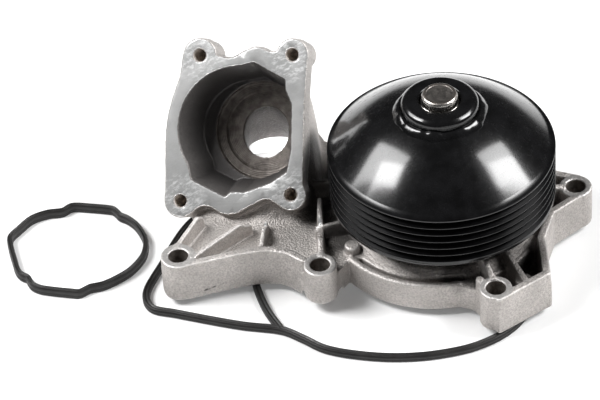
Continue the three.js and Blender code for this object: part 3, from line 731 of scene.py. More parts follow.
WELD_BEAD = [            # radius, height over the dome's top, corner radius
    (15.9, 0.9), (15.9, 3.1, 0.3), (17.0, 2.8, 0.9), (18.2, 1.7, 1.0), (19.1, 0.4, 0.6), (19.4, -0.1, 0.2),
]
TURNED = [               # CAD node, piece, body, record slot, material, corner radius, profile
    ("pulley_hub", "hub_boss", ROTOR, "black_paint", "paint", 0.5,
     [(8.26, 60.5), (12.5, 60.5), (15.6, 63.5, 0.8), (15.6, 72.6, 1.2), (13.4, 74.2, 1.1),
      (8.9, 74.2, 0.4), (8.26, 73.5, 0.3)]),
    ("bearing_outer_race", "bearing_race", ROOT, "bearing_steel", "polished", 0.35,
     [(12.4, 23), (15, 23, 0.7), (15, 58.5, 0.7), (12.4, 58.5), (12.4, 51.6), (12.6, 50, 1.0),
      (12.4, 48.4)]),
    ("bearing_seal_front", "front_lip_seal", ROOT, "seal_rubber", "seal", 0.3,
     [(8.3, 56.7), (12.1, 56.7), (12.1, 58.3), (10.6, 58.3), (10.4, 57.6), (9.0, 57.5), (8.3, 57.9)]),
    ("bearing_seal_rear", "rear_lip_seal", ROOT, "seal_rubber", "seal", 0.3,
     [(8.3, 23.3), (12.1, 23.3), (12.1, 24.9), (10.6, 24.9), (10.4, 24.2), (9.0, 24.1), (8.3, 24.5)]),
    ("seal_cup", "face_seal_cup", ROOT, "bright_steel", "steel", 0.25,
     [(10.2, 18.6), (10.2, 18), (14.9, 18, 0.8), (14.9, 9.6), (15.9, 9.6), (15.9, 18.6, 1.0)]),
    ("seal_bellows", "face_seal_bellows", ROOT, "seal_rubber", "seal", 0.45,
     [(9.4, 11.2), (10.6, 11.2), (10.6, 13), (11.6, 13.8), (10.6, 14.6), (11.3, 15.6), (10.6, 16.5),
      (10.6, 17.6), (9.4, 17.6), (9.4, 14.6), (10.1, 13.8), (9.4, 13)]),
    ("seal_carbon_face", "carbon_ring", ROOT, "carbon", "carbon", 0.2,
     [(8.5, 9.2), (10.6, 9.2), (10.9, 9.7), (12.4, 9.8), (12.4, 10.9), (8.5, 10.9)]),
    ("slinger", "shaft_slinger", ROTOR, "bright_steel", "steel", 0.25,
     [(8.26, 19.6), (11.2, 19.6), (11.4, 20.6), (9.2, 20.6), (9.2, 22.2), (8.26, 22.2)]),
    ("seal_mating_ring", "mating_ring", ROTOR, "ceramic", "ceramic", 0.25,
     [(9.1, 6.6), (13, 6.6), (13, 8.5), (12.4, 8.9), (9.1, 8.9)]),
    ("seal_mating_boot", "mating_boot", ROTOR, "seal_rubber", "seal", 0.35,
     [(8.26, 5.4), (13.4, 5.4), (13.4, 6.3), (8.8, 6.3), (8.8, 8.6), (8.26, 8.6)]),
]


def shaft_profile():
    """Ground shaft with a ball groove, a centre drilling in its inner end and a turned-down outer end."""
    r = SHAFT_R
    return fillet([
        (0, 1.6), (1.2, 0.5, 0.1), (1.6, 0, 0.1), (r - 1, 0, 0.2), (r, 1, 0.3), (r, 48.1, 0),
        (r - 0.15, 50, 1), (r, 51.9, 0), (r, HUB_TOP_Z - 1.8, 0.2), (SHAFT_END_R, HUB_TOP_Z - 1.4, 0.2),
        (SHAFT_END_R, SHAFT_TOP - 0.9, 0.3), (SHAFT_END_R - 0.7, SHAFT_TOP, 0.35),
        (5.6, SHAFT_TOP, 0.1), (5.3, SHAFT_TOP - 0.12, 0.1), (0, SHAFT_TOP - 0.12),
    ], 0.2, closed=False, steps=3)


# ---------------------------------------------------------------- bearing, face seal and impeller

BALL_R = 2.05
PITCH_R = 10.18
BALL_COUNT = 8
BALL_ROW_Z = 50.0
ROLLER_COUNT = 10
ROLLER_LENGTH = 10.0
ROLLER_ROW_Z = 34.0
DRAIN_Z = 20.8
DRAIN_ANGLE = -0.35
CAGE_PLAY = 0.3          # round each ball and roller


def cage(name, low, high, count, window):
    field = Field((-11.8, -11.8, low - 0.8), (11.8, 11.8, high + 0.8), 0.28)
    field.add(turned([(9.35, low), (11, low), (11, high), (9.35, high)], 2.0))
    for i in range(count):
        field.cut(window(2 * math.pi * i / count), 0.3)
    return field.mesh(name)


def ball_window(angle):
    outward = np.array([*polar(1.0, angle), 0])
    middle = outward * PITCH_R + np.array([0, 0, BALL_ROW_Z])
    return rod(middle - outward * 2, middle + outward * 2, BALL_R + CAGE_PLAY)


def roller_window(angle):
    """A slot with half-round ends, the height of a roller."""
    outward = np.array([*polar(1.0, angle), 0])
    across = np.array([-outward[1], outward[0], 0])
    middle = outward * PITCH_R + np.array([0, 0, ROLLER_ROW_Z])

    def distance(x, y, z):
        side = np.abs((x - middle[0]) * across[0] + (y - middle[1]) * across[1]) - BALL_R - CAGE_PLAY
        depth = np.abs((x - middle[0]) * outward[0] + (y - middle[1]) * outward[1]) - 2.0
        height = np.abs(z - middle[2]) - ROLLER_LENGTH / 2 - CAGE_PLAY
        return smooth_max(np.maximum(side, depth), height, 0.6)
    reach = np.array([4.0, 4.0, 6.5])
    return Shape(middle - reach, middle + reach, distance)


def bearing_ball(name, place):
    bm = bmesh.new()
    bmesh.ops.create_icosphere(bm, subdivisions=4, radius=BALL_R * MM)
    mesh = mesh_from(name, bm)
    mesh.shade_smooth()
    mesh.transform(Matrix.Translation(Vector(place) * MM))
    return link_object(name, mesh)


def bearing_roller(name, place):
    """A crowned roller with dished ends."""
    half = ROLLER_LENGTH / 2
    profile = fillet([(0, 0.2), (1.0, 0.2, 0.2), (1.3, 0, 0.2), (1.85, 0, 0.15), (BALL_R, 0.4, 0.3),
                      (BALL_R, half, 0), (BALL_R, 2 * half - 0.4, 0.3), (1.85, 2 * half, 0.15),
                      (1.3, 2 * half, 0.2), (1.0, 2 * half - 0.2, 0.2), (0, 2 * half - 0.2)],
                     0.2, closed=False, steps=2)
    obj = lathe(name, profile, 40, closed=False)
    obj.data.transform(Matrix.Translation(Vector(place) * MM))
    return obj


def spring_coil():
    turns, steps, rings, wire, radius = 3, 44, 10, 0.6, 13.2
    points, faces = [], []
    total = turns * steps
    for i in range(total + 1):
        t = i / total
        angle = 2 * math.pi * turns * t
        centre = Vector((*polar(radius, angle), 11.4 + 5.6 * t))
        outward = Vector((*polar(1.0, angle), 0))
        for k in range(rings):
            around = 2 * math.pi * k / rings
            spot = centre + outward * wire * math.cos(around) + Vector((0, 0, wire * math.sin(around)))
            points.append(spot * MM)
    for i in range(total):
        a, b = i * rings, (i + 1) * rings
        faces += [(a + k, a + (k + 1) % rings, b + (k + 1) % rings, b + k) for k in range(rings)]
    faces += [tuple(range(rings)), tuple(total * rings + k for k in range(rings))]
    return mesh_object("face_seal_spring", points, faces, sharp=60)


def drain_plug():
    """A domed plug pressed in the drain hole of the bearing tower."""
    profile = fillet([(0, 21.1), (1.35, 21.1, 0.3), (1.65, 21.5, 0.3), (1.65, 23.7, 0.3), (1.3, 24.1, 0.3),
                      (0.6, 24.1, 0.2), (0, 23.7)], 0.2, closed=False, steps=3)
    obj = lathe("drain_plug", profile, 32, closed=False)
    turn = Matrix.Rotation(DRAIN_ANGLE, 4, "Z") @ Matrix.Rotation(-math.pi / 2, 4, "X")
    obj.data.transform(Matrix.Translation((0, 0, DRAIN_Z * MM)) @ turn)
    return obj


def impeller_body():
    field = Field((-31, -31, -0.8), (31, 31, 6.2), 0.4)
    field.add(turned([(8.26, 0.4), (11, 0.4), (11, 3.2), (29, 3.2), (29, 4.6), (12, 4.9), (8.26, 4.9)], 2.0))
    for i in range(7):
        start = 2 * math.pi * i / 7
        vane = [polar(10.6 + 6 * k, start - 0.24 * k) for k in range(4)]
        field.add(wall(vane, 1.7, 0.4, 3.6, edge=0.3), 0.6)
    field.cut(post(0, 0, 8.26, -3, 9, edge=0), 0.2)
    field.cut(block(-40, -40, 40, 40, -6, 0.4))
    return field.mesh("impeller_moulding")


# ---------------------------------------------------------------- loose seals

CRANKCASE_LOOP = [
    (-86, -42.6), (-69, -47.4), (-61, -53), (-52.6, -59.6), (-38.9, -64.6), (-23.1, -67.4), (-7.1, -67.2),
    (9.1, -63.6), (23, -55), (32, -41), (35, -20), (33, 4), (22, 26), (2, 40), (-22, 43), (-46, 36),
    (-64, 29), (-79, 32), (-93, 31), (-105, 21), (-117, -3), (-124, -21), (-121.6, -29), (-112, -33),
]
CRANKCASE_DIVIDER = [(-69.5, -47), (-74, -37.4), (-77, -28), (-79, -16), (-77, 2), (-65, 28.6)]
THERMOSTAT_LOOP = [
    (-180.1, 12), (-178.6, 5), (-176.9, -2.1), (-175.3, -4.8), (-172.7, -6.8), (-171.9, -8.7),
    (-170.4, -11.5), (-167.4, -13.6), (-161.9, -15.4), (-155, -17.1), (-151.4, -17.8),
    (-148.8, -16.4), (-146.8, -15.2),
    (-141.8, -14.2), (-136, -11.1), (-130.5, -6.9), (-126.3, -1.2), (-124.4, 3.3), (-123.8, 10.1),
    (-125.2, 15.6), (-127.9, 21.3), (-131.5, 25.5), (-134.3, 27.5), (-135.5, 29.4), (-137.3, 31.7),
    (-139.5, 32.6), (-146.1, 34.2), (-153.6, 35.7), (-155.7, 35.3), (-158.8, 33), (-164.9, 32.5),
    (-171.9, 29.6), (-177.4, 23.3), (-179.9, 20.2), (-180.8, 18.1),
]


def seal_section(width, height):
    """Moulded section: two sealing ridges on top, a waist on each side and a flat foot."""
    side = width / 2
    half = [(0, height - 0.5, 0.25), (side * 0.35, height - 0.05, 0.25), (side * 0.65, height - 0.05, 0.25),
            (side * 0.85, height - 0.5, 0.2), (side, height - 0.9, 0.3), (side, height * 0.55, 0.2),
            (side - 0.18, height * 0.45, 0.2), (side, height * 0.35, 0.2), (side, 0.35, 0.3),
            (side - 0.3, 0, 0.2)]
    mirrored = [(-x, z, r) for x, z, r in reversed(half[1:])]
    return [(x, FLOOR_Z + z) for x, z in fillet([*half, *mirrored], 0.2, steps=2)]


def crankcase_seal():
    section = seal_section(*CRANKCASE_SEAL)
    loop = swept_strip("loop", curve_points(CRANKCASE_LOOP, True, 14), section, True)
    divider = swept_strip("divider", curve_points(CRANKCASE_DIVIDER, False, 14), section, False)
    return joined("crankcase_seal", [loop, divider])


def thermostat_seal():
    section = seal_section(*THERMOSTAT_SEAL)
    return swept_strip("thermostat_seal", curve_points(THERMOSTAT_LOOP, True, 4), section, True)


# ---------------------------------------------------------------- materials

class Finish:
    """A Principled material, with short calls for the textures that it's built from."""

    def __init__(self, name, **sockets):
        self.material = bpy.data.materials.new(name)
        self.material.use_nodes = True
        self.tree = self.material.node_tree
        self.shader = self.tree.nodes["Principled BSDF"]
        for socket, value in sockets.items():
            self.shader.inputs[socket.replace("_", " ")].default_value = value
        coordinates = self.tree.nodes.new("ShaderNodeTexCoord")
        self.place = coordinates.outputs["Object"]
        self.normal = coordinates.outputs["Normal"]

    def node(self, kind, inputs=(), **settings):
        node = self.tree.nodes.new(kind)
        for key, value in settings.items():
            setattr(node, key, value)
        for key, value in dict(inputs).items():
            self.put(node.inputs[key], value)
        return node

    def put(self, socket, value):
        if isinstance(value, bpy.types.NodeSocket):
            self.tree.links.new(value, socket)
        else:
            socket.default_value = value

    def noise(self, scale, detail=3.0, roughness=0.5, stretch=None):
        place = self.place
        if stretch:
            place = self.node("ShaderNodeMapping", {"Vector": place, "Scale": stretch}).outputs[0]
        return self.node("ShaderNodeTexNoise", {
            "Vector": place, "Scale": scale, "Detail": detail, "Roughness": roughness}).outputs["Fac"]

    def cells(self, scale):
        inputs = {"Vector": self.place, "Scale": scale}
        return self.node("ShaderNodeTexVoronoi", inputs).outputs["Distance"]

    def remap(self, value, low, high, to_low=0.0, to_high=1.0, smooth=False):
        return self.node("ShaderNodeMapRange", {
            "Value": value, "From Min": low, "From Max": high, "To Min": to_low, "To Max": to_high},
            interpolation_type="SMOOTHSTEP" if smooth else "LINEAR").outputs["Result"]

    def below(self, value, full, none, smooth=False):
        """1 where value is up to full millimetres, fading to 0 at none."""
        return self.remap(value, full * MM, none * MM, 1.0, 0.0, smooth)

    def above(self, value, none, full, smooth=False):
        """0 where value is up to none millimetres, rising to 1 at full."""
        return self.remap(value, none * MM, full * MM, smooth=smooth)

    def math(self, operation, *values):
        node = self.node("ShaderNodeMath", operation=operation)
        for socket, value in zip(node.inputs, values):
            self.put(socket, value)
        return node.outputs[0]

    def fold(self, operation, first, *rest):
        for value in rest:
            first = self.math(operation, first, value)
        return first

    def times(self, *values):
        return self.fold("MULTIPLY", *values)

    def lowest(self, *values):
        return self.fold("MINIMUM", *values)

    def highest(self, *values):
        return self.fold("MAXIMUM", *values)

    def inverse(self, value):
        return self.math("SUBTRACT", 1.0, value)

    def waves(self, value, rate):
        """Even ripples along value, rate radians a metre."""
        return self.math("SINE", self.times(value, rate))

    def blend(self, factor, a, b):
        node = self.node("ShaderNodeMix", data_type="RGBA")
        self.put(node.inputs["Factor"], factor)
        self.put(node.inputs["A"], a if isinstance(a, bpy.types.NodeSocket) else (*a, 1))
        self.put(node.inputs["B"], b if isinstance(b, bpy.types.NodeSocket) else (*b, 1))
        return node.outputs["Result"]

    def layered(self, base, *layers):
        """A colour with (mask, colour) layers laid over it in turn."""
        for mask, colour in layers:
            base = self.blend(mask, base, colour)
        return base

    def mottled(self, scale, dark, light, low=0.35, high=0.65, detail=3):
        """Two tones clouded into each other."""
        return self.blend(self.remap(self.noise(scale, detail), low, high), dark, light)

    def mix(self, factor, a, b):
        node = self.node("ShaderNodeMix", data_type="FLOAT")
        for key, value in (("Factor", factor), ("A", a), ("B", b)):
            self.put(node.inputs[key], value)
        return node.outputs["Result"]

    def vector(self, operation, *values):
        inputs = {i: tuple(v) if isinstance(v, np.ndarray) else v for i, v in enumerate(values)}
        node = self.node("ShaderNodeVectorMath", inputs, operation=operation)
        return node.outputs["Value" if operation in ("LENGTH", "DOT_PRODUCT") else "Vector"]

    def dot(self, a, b):
        return self.vector("DOT_PRODUCT", a, b)

    def away_from(self, point):
        return self.vector("SUBTRACT", self.place, point)

    def distance_to(self, point, axis=None):
        """Distance from a point, or from the line through it along axis, in metres."""
        away = self.away_from(point)
        if axis is not None:
            away = self.vector("CROSS_PRODUCT", away, axis)
        return self.vector("LENGTH", away)

    def height_along(self, point, axis):
        return self.dot(self.away_from(point), axis)

    def bump(self, height, depth):
        """depth is the bump's height in millimetres for a full step of the texture."""
        under = self.shader.inputs["Normal"]
        inputs = {"Height": height, "Distance": depth * MM, "Strength": 1.0}
        if under.is_linked:
            inputs["Normal"] = under.links[0].from_socket
        self.put(under, self.node("ShaderNodeBump", inputs).outputs[0])

    def colour(self, value):
        self.put(self.shader.inputs["Base Color"], value)

    def rough(self, value):
        self.put(self.shader.inputs["Roughness"], value)


# Spots where shadow is painted into the casting's colour as dark patches.
PAINTED_SHADE_SPOTS = [       # middle, reach in mm, strength of the painted shade
    ((-42, 14, 18), 26, 0.8),
    ((29, -33, 10), 17, 0.8),
    ((47, 4, 6), 12, 0.5),
    ((-43, -9, 11), 12, 0.9),
    ((-50, 20, 26), 18, 0.92),
    ((3, -37, 12), 9, 0.7),
]


FLANGE_REACH = (52, 54)  # the milled flange, the chamber and the bore fade out between these radii
CHAMBER_REACH = (32, 33)
BORE_EDGE = (10.2, 10.8)
CHAMBER_MIDDLE = (-2, -3)               # in flange u, v
# colour of the painted shade in the shadowed pockets
POCKET_SHADE_COLOUR = (0.05, 0.046, 0.043)
THREAD_RATE = 6283.0     # ripples of threads and tool marks, in radians a metre: one thread a millimetre
TURNING_RATE = 9000.0
FACING_RATE = 14000.0
SPINNING_RATE = 1800.0


def cast_aluminium():
    """As-cast skin with fine grain; milled flange, boss tops and underside; turned thermostat seat."""
    f = Finish("cast_aluminium", Metallic=0.7, Specular_IOR_Level=0.4)
    height = f.height_along(ORIGIN, UP)
    flange_height = f.height_along(FLANGE_CENTRE * MM, FLANGE_W)

    # Machined faces.
    flange_band = f.below(f.math("ABSOLUTE", flange_height), 0.08, 0.22, smooth=True)
    flange_near = f.below(f.distance_to(FLANGE_CENTRE * MM), *FLANGE_REACH)
    milled = f.times(flange_band, flange_near, f.remap(f.dot(f.normal, FLANGE_W), 0.88, 0.97, smooth=True))
    from_bolts = [f.distance_to((x * MM, y * MM, 0), UP) for x, y, _, _ in BOLT_BOSSES]
    from_rims = [f.math("SUBTRACT", d, boss[2] * MM) for d, boss in zip(from_bolts, BOLT_BOSSES)]
    boss_top = f.times(f.above(height, BOSS_TOP_Z - 0.35, BOSS_TOP_Z - 0.15, smooth=True),
                       f.below(height, BOSS_TOP_Z + 0.2, BOSS_TOP_Z + 0.5),
                       f.below(f.lowest(*from_rims), 0.0, 0.5))
    machined = f.highest(milled, f.below(height, 0.15, 0.4, smooth=True), f.times(boss_top, 0.4))
    seat_r = f.distance_to(flange_point(*SEAT) * MM, FLANGE_W)
    seat = f.times(f.below(seat_r, SEAT_R, SEAT_R + 0.6),
                   f.below(flange_height, -CHAMBER_DEPTH - 0.2, -CHAMBER_DEPTH + 0.6),
                   f.above(flange_height, -24.6, -24.2))

    # Holes.
    bolt_bore = f.times(f.below(f.lowest(*from_bolts), BOLT_HOLE_R + 0.1, BOLT_HOLE_R + 0.3),
                        f.below(height, BOSS_TOP_Z - 0.9, BOSS_TOP_Z - 0.3))
    from_screw = f.lowest(*(f.distance_to(flange_point(u, v) * MM, FLANGE_W) for u, v, _ in FLANGE_HOLES))
    screw_bore = f.times(f.below(from_screw, SCREW_HOLE_R + 0.15, SCREW_HOLE_R + 0.35),
                         f.below(flange_height, -0.8, -0.3))
    bores = f.highest(bolt_bore, screw_bore)

    # The chamber's inside and the bore that leads out of it, both painted with shade, and the bore's mouth,
    # painted pale with light.
    chamber_middle = flange_point(*CHAMBER_MIDDLE) * MM
    inward = f.below(f.dot(f.normal, f.away_from(chamber_middle)), -1, 1)
    inside = f.times(f.below(f.distance_to(chamber_middle, FLANGE_W), *CHAMBER_REACH),
                     f.below(flange_height, 0.0, 0.3))
    chamber_shade = f.times(inward, inside, f.inverse(milled), f.above(flange_height, -25, -23))
    bore_end = np.array(BORE_END) * MM
    from_bore = f.distance_to(bore_end, unit(np.array(BORE_END) - flange_point(*BORE_START)))
    bore_side = f.below(f.dot(f.normal, f.away_from(bore_end)), -3, -1)
    bore = f.times(f.below(from_bore, *BORE_EDGE), f.below(flange_height, -25, -24), bore_side)
    # painted light: the bore's mouth coloured pale, as if bright floor showed through it
    painted_mouth_light = f.times(f.below(f.height_along(ORIGIN, (0, 0.52, 1)), 39.8, 40.3), bore_side,
                    f.below(from_bore, 14, 15), f.above(f.height_along(ORIGIN, (0, 1, 0)), 47, 48))

    # Marks on the skin: painted highlight on its edges, painted shade in its pockets, a flaw at the parting
    # line.
    speckle = f.remap(f.noise(1250, 2, 0.6), 0.36, 0.66)
    point = f.node("ShaderNodeNewGeometry").outputs["Pointiness"]
    # painted highlight: convex edges and crests made pale where light catches them
    edge_highlight = f.times(f.remap(point, 0.52, 0.58, 0.0, 0.75), f.inverse(inside),
                   f.remap(flange_band, 0.0, 1.0, 1.0, 0.4))
    # painted shade: dark patches where the pockets lie in shadow
    pocket_shade = f.highest(*(
        f.remap(f.distance_to(np.array(spot) * MM), reach * 0.55 * MM, reach * MM, strength, 0.0, smooth=True)
        for spot, reach, strength in PAINTED_SHADE_SPOTS))
    seam_start, seam_end = np.array(FLASH_START), np.array(FLASH_END)
    seam_way = unit(seam_end - seam_start)
    waver = f.remap(f.noise(420, 3), 0.3, 0.7, -0.35 * MM, 0.35 * MM)
    off_seam = f.math("ADD", f.distance_to(seam_start * MM, seam_way), waver)
    along = f.height_along((seam_start + seam_end) / 2 * MM, seam_way)
    seam = f.times(f.below(off_seam, 0.15, 0.5, smooth=True),
                   f.below(f.math("ABSOLUTE", along), 4.5, 6.5, smooth=True))

    # Colours.
    patches = f.remap(f.noise(70, 4), 0.35, 0.7, smooth=True)
    scratches = f.remap(f.noise(900, 4, 0.6, (1, 5, 1)), 0.3, 0.7)
    skin = f.layered(
        f.blend(patches, (0.53, 0.5, 0.478), (0.65, 0.615, 0.588)),
        (f.times(speckle, 0.62), (0.25, 0.232, 0.222)),
        # painted shade: concave creases and corners darkened
        (f.remap(point, 0.49, 0.42, 0.0, 0.7), (0.13, 0.118, 0.11)),
        (edge_highlight, (0.86, 0.84, 0.82)),
        (pocket_shade, POCKET_SHADE_COLOUR),
        (f.times(seam, 0.85), (0.05, 0.045, 0.042)),
        # painted shade inside the chamber, darker the deeper it goes
        (f.times(chamber_shade, f.remap(flange_height, -14 * MM, -2 * MM, 0.93, 0.78)), (0.055, 0.052, 0.052)),
        (seat, f.mottled(300, (0.12, 0.106, 0.096), (0.21, 0.188, 0.172))),
        # painted shade inside the bore
        (bore, f.blend(patches, (0.06, 0.052, 0.05), (0.1, 0.088, 0.084))),
        # painted light at the bore's mouth
        (painted_mouth_light, (0.9, 0.9, 0.9)))
    clouds = f.remap(f.noise(60, 4, 0.6), 0.35, 0.65, smooth=True)
    tool_marks = f.remap(f.noise(380, 4, 0.7, (1, 3, 1)), 0.46, 0.62)
    round_screws = f.times(f.below(from_screw, 7.5, 13), milled)
    cut = f.layered(
        f.blend(clouds, (0.43, 0.432, 0.428), (0.56, 0.56, 0.555)),
        (f.times(scratches, 0.3), (0.68, 0.68, 0.68)),
        (f.times(tool_marks, round_screws, 0.75), (0.95, 0.95, 0.95)))
    # painted shade in the bolt holes and painted light in the screw holes
    holes_shade_and_light = f.blend(screw_bore, f.mottled(500, (0.13, 0.115, 0.102), (0.26, 0.232, 0.21)),
                      f.mottled(500, (0.55, 0.48, 0.42), (0.9, 0.84, 0.78)))
    f.colour(f.layered(skin, (machined, cut), (bores, holes_shade_and_light)))
    f.rough(f.mix(machined, f.remap(speckle, 0, 1, 0.6, 0.46), f.remap(scratches, 0, 1, 0.42, 0.30)))

    # Grain, turning rings, threads and scratches.
    as_cast = f.times(f.inverse(machined), *(f.remap(mask, 0.0, 1.0, 1.0, 0.15) for mask in (chamber_shade, bores)))
    grain = f.math("ADD", f.noise(1100, 3, 0.6), f.times(f.cells(1500), 0.6))
    f.bump(f.times(grain, as_cast), 0.28)
    f.bump(f.times(f.noise(260, 3), as_cast), 0.16)
    f.bump(f.times(f.waves(seat_r, TURNING_RATE), f.times(seat, f.inverse(bore))), 0.05)
    f.bump(f.times(f.waves(flange_height, THREAD_RATE), screw_bore), 0.25)
    f.bump(f.times(scratches, machined), 0.02)
    return f.material


def gloss_paint():
    """Black stoved paint, duller in the belt grooves, with the pressing's spinning marks under it."""
    f = Finish("black_paint", Specular_IOR_Level=0.1, Coat_IOR=1.5)
    f.colour(f.mottled(160, (0.003, 0.003, 0.0032), (0.006, 0.006, 0.0065)))
    f.rough(f.remap(f.noise(420, 3, 0.6), 0.3, 0.7, 0.2, 0.3))
    dome = f.above(f.height_along(ORIGIN, UP), PULLEY_LIP_Z + 0.5, PULLEY_LIP_Z + 2.4, smooth=True)
    level = f.math("ABSOLUTE", f.dot(f.normal, UP))
    groove_coat = f.remap(level, 0.3, 0.75, 1.0, 0.02, smooth=True)
    f.put(f.shader.inputs["Coat Weight"], f.mix(dome, groove_coat, 0.85))
    f.put(f.shader.inputs["Coat Roughness"], f.mix(dome, 0.22, 0.13))
    f.put(f.shader.inputs["Specular IOR Level"], f.mix(dome, 0.02, 0.1))
    spinning = {"W": f.times(f.distance_to(ORIGIN, UP), SPINNING_RATE), "Scale": 1.0, "Detail": 2.0}
    f.bump(f.node("ShaderNodeTexNoise", spinning, noise_dimensions="1D").outputs["Fac"], 0.012)
    f.bump(f.noise(500, 2), 0.01)
    orange_peel = {"Height": f.noise(420, 2), "Distance": 0.006 * MM, "Strength": 1.0}
    f.put(f.shader.inputs["Coat Normal"], f.node("ShaderNodeBump", orange_peel).outputs[0])
    return f.material


def shaft_steel():
    """Ground steel: brownish, pitted end and a bright turned chamfer."""
    f = Finish("bright_steel", Metallic=1.0)
    end_face = f.above(f.height_along(ORIGIN, UP), SHAFT_TOP - 0.25, SHAFT_TOP - 0.05)
    mottle = f.remap(f.noise(620, 4, 0.6), 0.4, 0.6)
    dull = f.blend(mottle, (0.20, 0.175, 0.155), (0.46, 0.42, 0.39))
    f.colour(f.blend(end_face, (0.66, 0.63, 0.60), dull))
    chamfer_rough = f.remap(f.noise(700, 2), 0.3, 0.7, 0.2, 0.3)
    f.rough(f.mix(end_face, chamfer_rough, f.remap(mottle, 0, 1, 0.5, 0.32)))
    f.bump(f.waves(f.distance_to(ORIGIN, UP), FACING_RATE), 0.012)
    f.bump(f.noise(1100, 4, 0.6), 0.09)
    return f.material


def ground_steel(name, shade, rough):
    f = Finish(name, Metallic=1.0)
    lines = f.noise(900, 3, 0.6, (1, 1, 9))
    f.colour(f.blend(lines, tuple(0.86 * c for c in shade), shade))
    f.rough(f.remap(lines, 0.3, 0.7, rough, rough + 0.12))
    f.bump(lines, 0.02)
    return f.material


def rubber(name, dark, light, rough):
    """Moulded rubber: a faint bloom, fine grain and a satin sheen."""
    f = Finish(name, Specular_IOR_Level=0.34)
    f.colour(f.mottled(90, dark, light, high=0.7))
    f.rough(f.remap(f.noise(700, 3), 0.3, 0.7, rough - 0.08, rough + 0.1))
    f.bump(f.noise(1600, 3, 0.6), 0.05)
    f.bump(f.noise(220, 2), 0.08)
    return f.material


def plastic(name, dark, light, rough, grain):
    f = Finish(name)
    fibres = f.noise(520, 4, 0.6, (1, 4, 1))
    f.colour(f.blend(fibres, dark, light))
    f.rough(f.remap(fibres, 0.3, 0.7, rough, rough + 0.15))
    f.bump(f.noise(1300, 3), grain)
    return f.material


def floor_finish():
    f = Finish("pale_floor", Specular_IOR_Level=0.1, Emission_Color=(1, 1, 1, 1), Emission_Strength=0.12)
    f.colour(f.blend(f.noise(6, 2), (0.82, 0.82, 0.82), (0.84, 0.84, 0.84)))
    f.rough(f.remap(f.noise(40, 3), 0.3, 0.7, 0.7, 0.85))
    return f.material


MATERIALS = {
    "cast": cast_aluminium(),
    "paint": gloss_paint(),
    "shaft": shaft_steel(),
    "steel": ground_steel("pressed_steel", (0.60, 0.58, 0.56), 0.28),
    "polished": ground_steel("bearing_steel", (0.66, 0.66, 0.66), 0.14),
    "gasket": rubber("gasket_rubber", (0.011, 0.0102, 0.01), (0.021, 0.0198, 0.0195), 0.43),
    "seal": rubber("seal_rubber", (0.018, 0.018, 0.017), (0.035, 0.034, 0.032), 0.5),
    "carbon": plastic("carbon", (0.022, 0.022, 0.024), (0.05, 0.05, 0.055), 0.3, 0.01),
    "ceramic": plastic("ceramic", (0.62, 0.60, 0.54), (0.72, 0.70, 0.64), 0.22, 0.01),
    "moulding": plastic("glass_filled_plastic", (0.13, 0.115, 0.095), (0.21, 0.19, 0.16), 0.42, 0.05),
}


def settle_piece(obj, body, record_slot, finish, *nodes):
    obj.data.materials.clear()
    obj.data.materials.append(MATERIALS[finish])
    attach(obj, body)
    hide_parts(*nodes)


def around_shaft(count, z):
    """Even places on the ball and roller circle, each with its number from 1."""
    return [(i + 1, (*polar(PITCH_R, 2 * math.pi * i / count), z)) for i in range(count)]


settle_piece(casting(), ROOT, "cast_aluminium", "cast", "housing")
pulley = lathe("pulley_pressing", pulley_profile(), 240)
settle_piece(pulley, ROTOR, "black_paint", "paint", "pulley_shell")
bead = fillet([(r, DOME_TOP_Z + z, *corner) for r, z, *corner in WELD_BEAD], 0.3)
bead = lathe("weld_bead", bead, 360, warp=weld_wobble)
settle_piece(bead, ROTOR, "black_paint", "paint", "hub_weld_bead")
shaft = lathe("shaft_bar", shaft_profile(), 128, closed=False)
settle_piece(shaft, ROTOR, "bright_steel", "shaft", "shaft")
for node, name, body, record_slot, finish, corner, profile in TURNED:
    settle_piece(lathe(name, fillet(profile, corner)), body, record_slot, finish, node)
settle_piece(spring_coil(), ROOT, "bright_steel", "steel", "seal_spring")
settle_piece(drain_plug(), ROOT, "plastic", "moulding", "weep_hole_plug")
settle_piece(impeller_body(), ROTOR, "plastic", "moulding", "impeller")
for kind, low, high, count, window in (("ball", 46.6, 51.2, BALL_COUNT, ball_window),
                                       ("roller", 27.4, 40.6, ROLLER_COUNT, roller_window)):
    settle_piece(cage(f"{kind}_separator", low, high, count, window), f"{kind}_train", "plastic", "moulding",
                 f"{kind}_cage")
for i, place in around_shaft(BALL_COUNT, BALL_ROW_Z):
    settle_piece(bearing_ball(f"ball_{i}", place), "ball_train", "bearing_steel", "polished",
                 f"bearing_ball_{i}")
for i, place in around_shaft(ROLLER_COUNT, ROLLER_ROW_Z - ROLLER_LENGTH / 2):
    settle_piece(bearing_roller(f"roller_{i}", place), "roller_train", "bearing_steel", "polished",
                 f"bearing_roller_{i}")
settle_piece(crankcase_seal(), ROOT, "gasket_rubber", "gasket", "crankcase_gasket")
settle_piece(thermostat_seal(), LOOSE, "gasket_rubber", "gasket", "thermostat_gasket")


# ---------------------------------------------------------------- floor, light and camera

def floor():
    bm = bmesh.new()
    bmesh.ops.create_grid(bm, x_segments=8, y_segments=8, size=3.0)
    obj = link_object("floor", mesh_from("floor", bm))
    obj.location = (0, 0, (FLOOR_Z - 0.02) * MM)
    obj.data.materials.append(floor_finish())


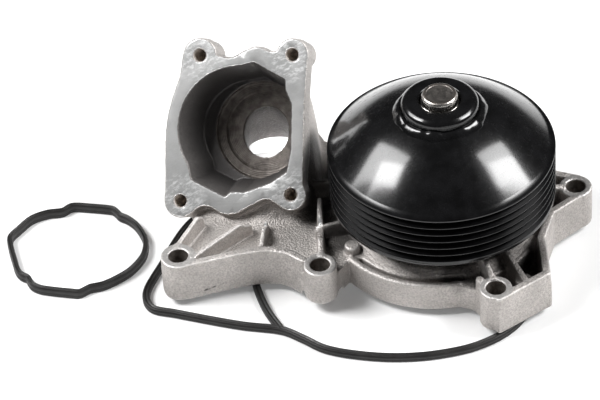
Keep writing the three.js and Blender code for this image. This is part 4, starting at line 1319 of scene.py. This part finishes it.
LIT_MIDDLE = (-0.03, 0.0, 0.04)
SOFTBOXES = [            # name, direction, distance and size in metres, watts, roll in degrees
    ("left_softbox", (-0.791, 0.134, 0.893), 1.2, 0.73, 0.48, 14, 47),
    ("left_bulb", (-0.649, -0.057, 0.758), 1.2, 0.44, 0.3, 5.8, 47),
    ("right_softbox", (0.853, 0.001, 0.845), 1.2, 0.58, 0.48, 11.5, -46),
    ("right_bulb", (0.771, -0.059, 0.634), 1.2, 0.5, 0.3, 5.4, -46),
    ("front_fill", (0.35, -0.92, 0.12), 1.5, 1.2, 0.2, 1.6, 0),
]
CAMERA_PLACE = (-0.0583508, -0.915475, 0.842343)
CAMERA_TILT = math.radians(41.74)        # down from level
CAMERA_ROLL = -0.0718956


def softbox(name, direction, distance, width, height, power, roll):
    """An area light in a direction from the middle of the pump, turned to face it."""
    data = bpy.data.lights.new(name, "AREA")
    data.shape = "RECTANGLE"
    data.size, data.size_y = width, height
    data.energy = power
    obj = link_object(name, data)
    way = Vector(direction).normalized()
    obj.location = Vector(LIT_MIDDLE) + way * distance
    facing = (-way).to_track_quat("-Z", "Y").to_matrix() @ Matrix.Rotation(math.radians(roll), 3, "Z")
    obj.rotation_euler = facing.to_euler()


def studio():
    world = bpy.data.worlds.new("studio")
    world.use_nodes = True
    background = world.node_tree.nodes["Background"]
    background.inputs["Color"].default_value = (1, 1, 1, 1)
    background.inputs["Strength"].default_value = 0.03
    bpy.context.scene.world = world
    for light in SOFTBOXES:
        softbox(*light)
    glow = bpy.data.lights.new("bore_glow", "AREA")     # lights the bore's mouth, which is also painted light
    glow.size = 0.011
    glow.energy = 0.005
    lamp = link_object("bore_glow", glow)
    lamp.location = (-0.0675, 0.049, 0.0045)
    lamp.rotation_euler = (math.radians(52), 0, 0)
    bpy.context.scene.view_settings.view_transform = "Standard"


def camera():
    forward = Vector((0, math.cos(CAMERA_TILT), -math.sin(CAMERA_TILT)))
    level = Vector((1, 0, 0))
    upward = Vector((0, math.sin(CAMERA_TILT), math.cos(CAMERA_TILT)))
    right = level * math.cos(CAMERA_ROLL) + upward * math.sin(CAMERA_ROLL)
    up = upward * math.cos(CAMERA_ROLL) - level * math.sin(CAMERA_ROLL)
    data = bpy.data.cameras.new("camera")
    data.lens, data.sensor_width = 180, 36
    data.clip_end = 20
    obj = link_object("camera", data)
    turn = Matrix((right, up, -forward)).transposed()
    obj.matrix_world = Matrix.Translation(CAMERA_PLACE) @ turn.to_4x4()
    bpy.context.scene.camera = obj


floor()
studio()
camera()
